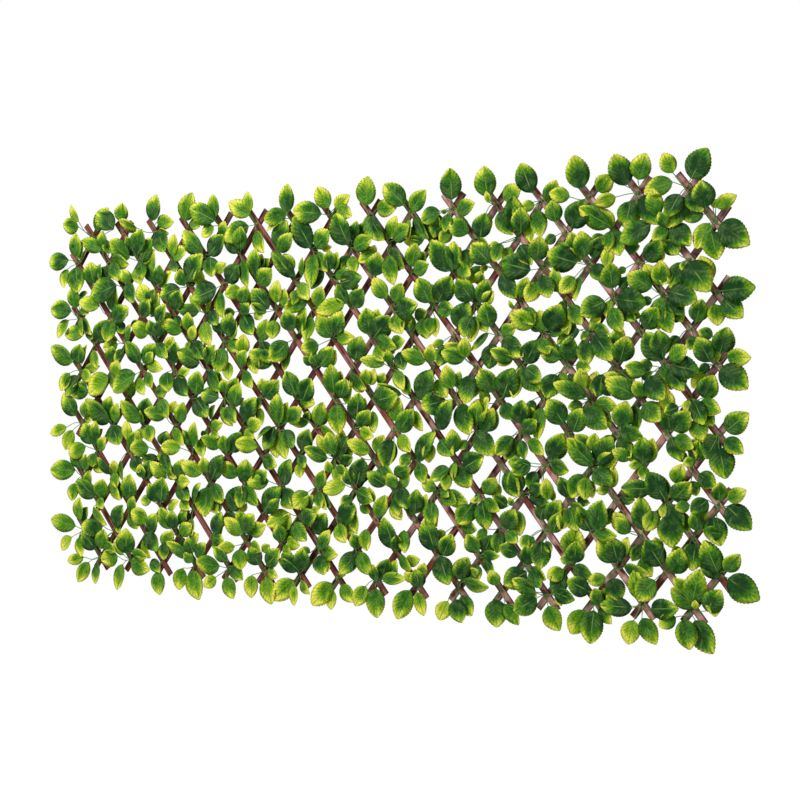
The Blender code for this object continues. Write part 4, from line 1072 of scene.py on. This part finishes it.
    (14, 11): ((315, 534, 326, 513, 16, 2, 1), (320, 549, 330, 530, 11, 4, 4),
        (322, 550, 338, 555, 14, 3, 4), (319, 555, 324, 575, 15, 3, 4), (325, 558, 328, 572, 8, 2, 5),
        (310, 553, 303, 547, 8, 1, 5)),
    (16, 11): ((359, 548, 352, 534, 13, 4, 3), (366, 529, 367, 551, 11, 3, 5),
        (357, 552, 340, 574, 16, 3, 2), (359, 552, 371, 575, 14, 3, 4)),
    (18, 11): ((395, 549, 384, 517, 16, 3, 1), (397, 550, 397, 535, 12, 4, 3),
        (404, 530, 405, 553, 11, 3, 5), (400, 555, 412, 570, 9, 3, 4), (406, 562, 420, 559, 11, 2, 7)),
    (20, 11): ((435, 551, 425, 519, 19, 3, 1), (443, 556, 452, 534, 16, 3, 2),
        (440, 556, 449, 585, 19, 3, 0)),
    (22, 11): ((479, 552, 467, 534, 14, 3, 4), (484, 553, 492, 535, 16, 2, 1),
        (483, 554, 500, 556, 9, 3, 3), (484, 557, 494, 575, 8, 2, 3), (476, 565, 479, 580, 9, 2, 3)),
    (24, 11): ((518, 554, 499, 546, 13, 3, 2), (529, 565, 527, 545, 13, 3, 2),
        (527, 572, 504, 585, 20, 2, 0), (530, 568, 546, 580, 11, 2, 3),
        (531, 570, 541, 588, 13, 3, 3)),
    (26, 11): ((574, 563, 577, 541, 18, 3, 2), (571, 556, 577, 527, 22, 2, 6),
        (572, 560, 560, 559, 10, 3, 5), (564, 570, 547, 578, 14, 2, 6), (573, 567, 593, 578, 14, 2, 3),
        (564, 570, 556, 597, 15, 1, 0)),
    (28, 11): ((618, 563, 611, 537, 21, 3, 0), (613, 563, 598, 540, 14, 2, 4),
        (624, 567, 651, 575, 13, 3, 4), (612, 578, 620, 601, 20, 2, 1), (606, 577, 588, 582, 12, 2, 6),
        (624, 556, 628, 537, 8, 1, 6)),
    (30, 11): ((675, 574, 681, 548, 19, 3, 3), (662, 566, 646, 540, 22, 2, 0),
        (660, 552, 655, 537, 10, 1, 5), (655, 580, 637, 600, 22, 3, 3),
        (678, 582, 685, 592, 10, 1, 3)),
    (32, 11): ((718, 573, 704, 540, 20, 3, 2), (722, 575, 700, 565, 13, 1, 2),
        (725, 571, 740, 554, 15, 3, 5), (728, 578, 760, 600, 25, 3, 2),
        (713, 589, 715.5, 617, 14, 2, 6)),
    (1, 12): ((84, 557, 67.5, 561, 10, 3, 7), (96, 549, 82, 532, 15, 3, 1),
        (101, 549, 104, 529, 13, 3, 5), (89, 562, 78, 582, 12, 3, 6), (98, 564, 95, 584, 8, 3, 4)),
    (3, 12): ((118, 556, 101, 560, 16, 3, 6), (124, 555, 114, 540, 7, 2, 7),
        (127, 554, 126, 528, 18, 3, 3), (132, 552, 148, 557, 10, 4, 5), (131, 562, 150, 570, 17, 3, 5),
        (123, 564, 117, 590, 11, 3, 5)),
    (5, 12): ((163, 546, 173, 531, 13, 3, 5), (164, 543, 164, 560, 10, 4, 2),
        (152, 559, 160, 573, 10, 2, 2), (158, 571, 160, 595, 13, 3, 4)),
    (7, 12): ((190, 556, 166, 542, 12, 3, 4), (190, 542, 199, 534, 10, 2, 7),
        (193, 553, 188, 537, 14, 3, 2), (196, 557, 206, 543, 11, 3, 3), (193, 562, 184, 553, 9, 3, 4),
        (193, 570, 199.5, 600, 17, 3, 5), (183, 568, 179, 590, 13, 3, 6)),
    (9, 12): ((220, 566, 196, 562, 18, 3, 4), (228, 561, 214, 547, 11, 3, 4),
        (231, 566, 243, 580, 12, 3, 3), (226, 577, 233.5, 599, 13, 3, 6),
        (216, 577, 204, 587, 11, 3, 8)),
    (11, 12): ((259, 565, 250, 547, 19, 3, 1), (267, 566, 280, 549, 14, 4, 3),
        (262, 551, 270, 545, 8, 1, 8), (266, 577, 272, 604.5, 15, 3, 5),
        (268, 570, 278, 577, 10, 3, 7), (252, 575, 251.5, 598, 13, 3, 7)),
    (13, 12): ((299, 571, 282, 553, 16, 3, 1), (303, 571, 303, 547, 15, 3, 1),
        (296, 570, 278, 559, 10, 2, 5), (294, 580, 272, 600, 18, 3, 6),
        (295, 585, 294.5, 606, 8, 3, 8), (301, 581, 310, 594, 8, 2, 5)),
    (15, 12): ((332, 583, 312, 605, 18, 3, 6), (332, 589, 331, 610, 10, 3, 8),
        (341, 585, 354, 602, 13, 3, 6), (342, 577, 343, 569, 6, 1, 8)),
    (17, 12): ((366, 586, 355, 606, 14, 3, 7), (376, 588, 377, 618, 17, 3, 5),
        (377, 581, 373, 564, 9, 3, 3), (381, 577, 389, 559, 12, 2, 1), (392, 577, 397, 560, 8, 2, 4),
        (380, 576, 382, 561, 7, 1, 8), (382, 578, 406, 579, 11, 3, 5)),
    (19, 12): ((420, 588, 415, 569, 15, 3, 1), (415, 580, 404, 573, 11, 2, 7),
        (421, 575, 425, 563, 9, 1, 5), (410, 590, 397, 619, 18, 3, 5), (417, 592, 424, 616, 11, 3, 7)),
    (21, 12): ((461, 580, 462, 558, 16, 3, 2), (458, 578, 468, 557, 17, 2, 3),
        (463, 579, 479, 570, 12, 2, 2), (464, 581, 489, 587, 13, 3, 4),
        (456, 599, 461.5, 623, 16, 3, 2), (461, 596, 472, 616, 15, 2, 3),
        (448, 601, 439, 620, 14, 3, 8)),
    (23, 12): ((498, 585, 490, 570, 12, 3, 7), (496, 599, 497, 627.5, 20, 3, 3),
        (505, 604, 519, 625, 12, 2, 5)),
    (25, 12): ((554, 592, 575, 600, 14, 2, 0), (556, 596, 562, 606, 6, 1, 8),
        (548, 606, 560, 631, 17, 3, 5), (537, 598, 514, 612, 19, 3, 2), (536, 592, 512, 579, 14, 3, 3),
        (531, 590, 537, 597, 6, 1, 8)),
    (27, 12): ((600, 605, 594, 588, 14, 3, 4), (590, 592, 567, 580, 19, 3, 1),
        (585, 610, 571, 634, 18, 3, 6), (594, 610, 590, 644, 20, 3, 2), (599, 608, 612, 624, 10, 1, 3),
        (606, 602, 604, 588, 8, 1, 3)),
    (29, 12): ((640, 600, 635, 569, 14, 2, 5), (651, 609, 679, 608.5, 19, 3, 1),
        (642, 618, 656.5, 644.5, 16, 3, 3), (634, 620, 628, 644.5, 16, 3, 7),
        (632.5, 608, 600, 605, 18, 3, 1), (622, 603, 606, 596, 12, 1, 0)),
    (31, 12): ((692, 604, 700, 569, 20, 3, 4), (693, 594, 673, 578, 12, 4, 4),
        (696, 607, 671, 588, 18, 2, 3), (696, 609, 695, 600, 6, 3, 8),
        (676, 617, 659, 626.5, 13, 3, 5), (684, 619, 690, 650, 19, 3, 4),
        (695, 620, 713.5, 654, 20, 2, 2), (706, 611, 721.5, 590, 19, 3, 3)),
}

# How far a leaf's base and tip stand off the front slats: low, and a rise for each level
BASE_LOW, BASE_RISE = 0.0035, 0.0040
TIP_LOW, TIP_RISE = 0.0060, 0.0052

# How wide a leaf is for its length, how much of its width is seen, and its pale soft edge
USUAL_WIDTH_SHARE, LEAST_WIDTH_SHARE, MOST_WIDTH_SHARE = 0.66, 0.44, 0.84
SEEN_WIDTH_SHARE = 0.93
SOFT_EDGE_PIXELS = 1.0
PALEST_TONE = 9.0

# Rolls of a blade about its midrib that are tried, how far from the front slats its margins
# may then stand, and what speaks against a roll
LOWEST_REACH, HIGHEST_REACH = 0.002, 0.032
TRIED_ROLLS = range(-50, 51, 10)
ROLL_COST_PER_DEGREE, OUTSIDE_COST_PER_METRE = 0.004, 100.0
ROLL_SPREAD = 6.0


def place_at_pixel(pixel_x, pixel_y, height):
    """The place, at a height in front of the front slats, that the camera sees at a pixel."""
    right = (pixel_x - PICTURE_PIXELS / 2.0) / FOCAL_PIXELS
    up = (PICTURE_PIXELS / 2.0 - pixel_y) / FOCAL_PIXELS
    ray = CAMERA_RIGHT * right + CAMERA_UP * up - CAMERA_BACK
    return CAMERA_PLACE + ray * ((FRONT_FACE - height - CAMERA_PLACE.y) / ray.y)


def seen_width(base, tip, roll):
    """How many pixels wide a metre of a blade's width looks."""
    direction = (tip - base).normalized()
    side = direction.cross(OUTWARD).normalized()
    side = Matrix.Rotation(math.radians(roll), 3, direction) @ side
    away = CAMERA_BACK.dot(CAMERA_PLACE - (base + tip) / 2.0)
    axis = Vector((direction.dot(CAMERA_RIGHT), direction.dot(CAMERA_UP))).normalized()
    seen = Vector((side.dot(CAMERA_RIGHT), side.dot(CAMERA_UP)))
    return abs(seen.x * axis.y - seen.y * axis.x) * FOCAL_PIXELS / away


def likely_roll(base, tip, wide_pixels):
    """The roll that makes a leaf so wide in the picture with the least oddness.

    A leaf is odd if its width isn't usual for its length, if it is turned far, and if it
    would reach into the slats or far off them.
    """
    length = (tip - base).length
    off_face = (2.0 * FRONT_FACE - base.y - tip.y) / 2.0
    choices = []
    for roll in TRIED_ROLLS:
        width = wide_pixels / seen_width(base, tip, roll)
        reach = min(width, MOST_WIDTH_SHARE * length) / 2.0
        reach *= math.sin(math.radians(abs(roll)))
        too_low = max(0.0, LOWEST_REACH - off_face + reach)
        too_high = max(0.0, off_face + reach - HIGHEST_REACH)
        oddness = abs(width / length - USUAL_WIDTH_SHARE)
        oddness += ROLL_COST_PER_DEGREE * abs(roll)
        oddness += OUTSIDE_COST_PER_METRE * (too_low + too_high)
        choices.append((oddness, roll))
    return min(choices)[1]


def stem_route(hub, base, tip, chance):
    """Places along a stem that bulges outward and sways aside on its way to a blade."""
    reach = base - hub
    sway = chance.uniform(-STEM_SWAY_SHARE, STEM_SWAY_SHARE)
    aside = Vector((-reach.z, 0.0, reach.x)) * sway
    places = []
    for step in range(STEM_STEPS):
        share = step / (STEM_STEPS - 1)
        bulge = math.sin(math.pi * share)
        place = hub.lerp(base, share) + aside * bulge * (SWAY_START - share)
        place.y -= STEM_RISE * bulge
        places.append(place)
    places.append(base + (tip - base) * STEM_ON_BLADE_SHARE)
    return places


def seen_sprig(foliage, centre, leaves, chance):
    """A sprig whose leaves lie where the photograph shows them."""
    hub = centre + Vector((0.0, FRONT_FACE - HUB_STAND, 0.0))
    foliage.hub(hub)
    for base_x, base_y, tip_x, tip_y, width_pixels, level, tone in leaves:
        base = place_at_pixel(base_x, base_y, BASE_LOW + BASE_RISE * level)
        tip = place_at_pixel(tip_x, tip_y, TIP_LOW + TIP_RISE * level)
        length = (tip - base).length
        wide_pixels = (width_pixels + SOFT_EDGE_PIXELS) / SEEN_WIDTH_SHARE
        roll = likely_roll(base, tip, wide_pixels) + chance.gauss(0.0, ROLL_SPREAD)
        width = wide_pixels / seen_width(base, tip, roll)
        width = min(max(width, LEAST_WIDTH_SHARE * length), MOST_WIDTH_SHARE * length)
        cup_share = chance.uniform(*CUP_SHARES)
        bend_share = chance.uniform(*BEND_SHARES)
        own_tone = tone / PALEST_TONE + chance.gauss(0.0, TONE_SPREAD)
        foliage.blade(base, tip, width, roll, cup_share, bend_share, own_tone)
        foliage.stem(stem_route(hub, base, tip, chance))


for number, members in enumerate(BACK_SLATS, start=1):
    board("back_board_%02d" % number, members, SLAT_LEAN, BACK_LAYER_FRONT, 0.0,
          "back_%02d" % number, "back_slat_%02d" % number, BACK_WOOD_PAINTED_SHADE, number)

for number, members in enumerate(FRONT_SLATS, start=1):
    body = "front_%02d" % number
    board("front_board_%02d" % number, members, -SLAT_LEAN, FRONT_FACE, FRONT_LAYER_BACK,
          body, "front_slat_%02d" % number, FRONT_WOOD_PAINTED_LIT, FRONT_GRAIN_START + number)
    rivet_heads(number, members, body)
    foliage = Foliage()
    for column, row in members:
        chance = random.Random(column * SEED_STEP + row)
        seen_sprig(foliage, crossing_place(column, row), LEAF_PIXELS[(column, row)], chance)
    strip = "leaf_sprigs_%02d" % number
    foliage.finish(number, body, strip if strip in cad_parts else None)


# Stage. Each lamp is its name, its place, its size and its power in watts.
WHITE = (1.0, 1.0, 1.0, 1.0)
WORLD_LIGHT = 0.32
FLOOR_COLOUR, FLOOR_DEPTH, FLOOR_SIZE = (0.85, 0.85, 0.85, 1.0), 1.5, 40.0
FLOOR_GLOW, FLOOR_GLOW_SHARE = 1.05, 0.93
LAMPS = (("key", (-1.4, -3.2, 3.0), 1.4, 245.0),
         ("fill", (2.8, -3.2, 1.2), 2.4, 30.0),
         ("back", (-0.6, 3.4, 1.8), 2.2, 110.0))


def shows_background(tree):
    """1 for a ray that shows the background itself: to the camera, in a mirror or in glass."""
    path = tree.nodes.new("ShaderNodeLightPath")
    seen = math_node(tree, "MAXIMUM", path.outputs["Is Camera Ray"], path.outputs["Is Glossy Ray"])
    return math_node(tree, "MAXIMUM", seen, path.outputs["Is Transmission Ray"])


def floor_material():
    """White where it is seen, with a little of the shadow kept, and pale and matt to light."""
    material = bpy.data.materials.new("pale_floor")
    material.use_nodes = True
    tree = material.node_tree
    tree.nodes.clear()
    out = tree.nodes.new("ShaderNodeOutputMaterial")
    matt = tree.nodes.new("ShaderNodeBsdfDiffuse")
    matt.inputs["Color"].default_value = FLOOR_COLOUR
    glow = tree.nodes.new("ShaderNodeEmission")
    glow.inputs["Color"].default_value = WHITE
    glow.inputs["Strength"].default_value = FLOOR_GLOW
    mixer = tree.nodes.new("ShaderNodeMixShader")
    link(tree, times(tree, shows_background(tree), FLOOR_GLOW_SHARE), mixer.inputs[0])
    link(tree, matt.outputs[0], mixer.inputs[1])
    link(tree, glow.outputs[0], mixer.inputs[2])
    link(tree, mixer.outputs[0], out.inputs["Surface"])
    return material


def lay_floor():
    half = FLOOR_SIZE / 2.0
    corners = [(-half, -half, -FLOOR_DEPTH), (half, -half, -FLOOR_DEPTH),
               (half, half, -FLOOR_DEPTH), (-half, half, -FLOOR_DEPTH)]
    mesh = bpy.data.meshes.new("floor")
    mesh.from_pydata(corners, [], [(0, 1, 2, 3)])
    floor = bpy.data.objects.new("floor", mesh)
    floor.data.materials.append(floor_material())
    bpy.context.scene.collection.objects.link(floor)


def light_world():
    """White where the background is seen, and a faint plain light on the object."""
    world = bpy.data.worlds.new("studio")
    bpy.context.scene.world = world
    world.use_nodes = True
    tree = world.node_tree
    background = tree.nodes["Background"]
    background.inputs["Color"].default_value = WHITE
    strength = times_plus(tree, shows_background(tree), 1.0 - WORLD_LIGHT, WORLD_LIGHT)
    link(tree, strength, background.inputs["Strength"])


def area_lamp(name, place, size, power):
    """A square lamp that faces the middle of the panel."""
    data = bpy.data.lights.new(name, "AREA")
    data.shape = "SQUARE"
    data.size = size
    data.energy = power
    lamp = bpy.data.objects.new(name, data)
    bpy.context.scene.collection.objects.link(lamp)
    lamp.location = place
    lamp.rotation_euler = (-Vector(place)).to_track_quat("-Z", "Y").to_euler()


def set_camera():
    data = bpy.data.cameras.new("camera")
    data.sensor_width = SENSOR_MILLIMETRES
    data.lens = FOCAL_PIXELS / PICTURE_PIXELS * SENSOR_MILLIMETRES
    camera = bpy.data.objects.new("camera", data)
    bpy.context.scene.collection.objects.link(camera)
    turn = Matrix((CAMERA_RIGHT, CAMERA_UP, CAMERA_BACK)).transposed()
    camera.rotation_euler = turn.to_euler()
    camera.location = CAMERA_PLACE
    bpy.context.scene.camera = camera


lay_floor()
light_world()
for lamp in LAMPS:
    area_lamp(*lamp)
set_camera()
bpy.context.scene.view_settings.view_transform = "Standard"

bpy.context.view_layer.update()
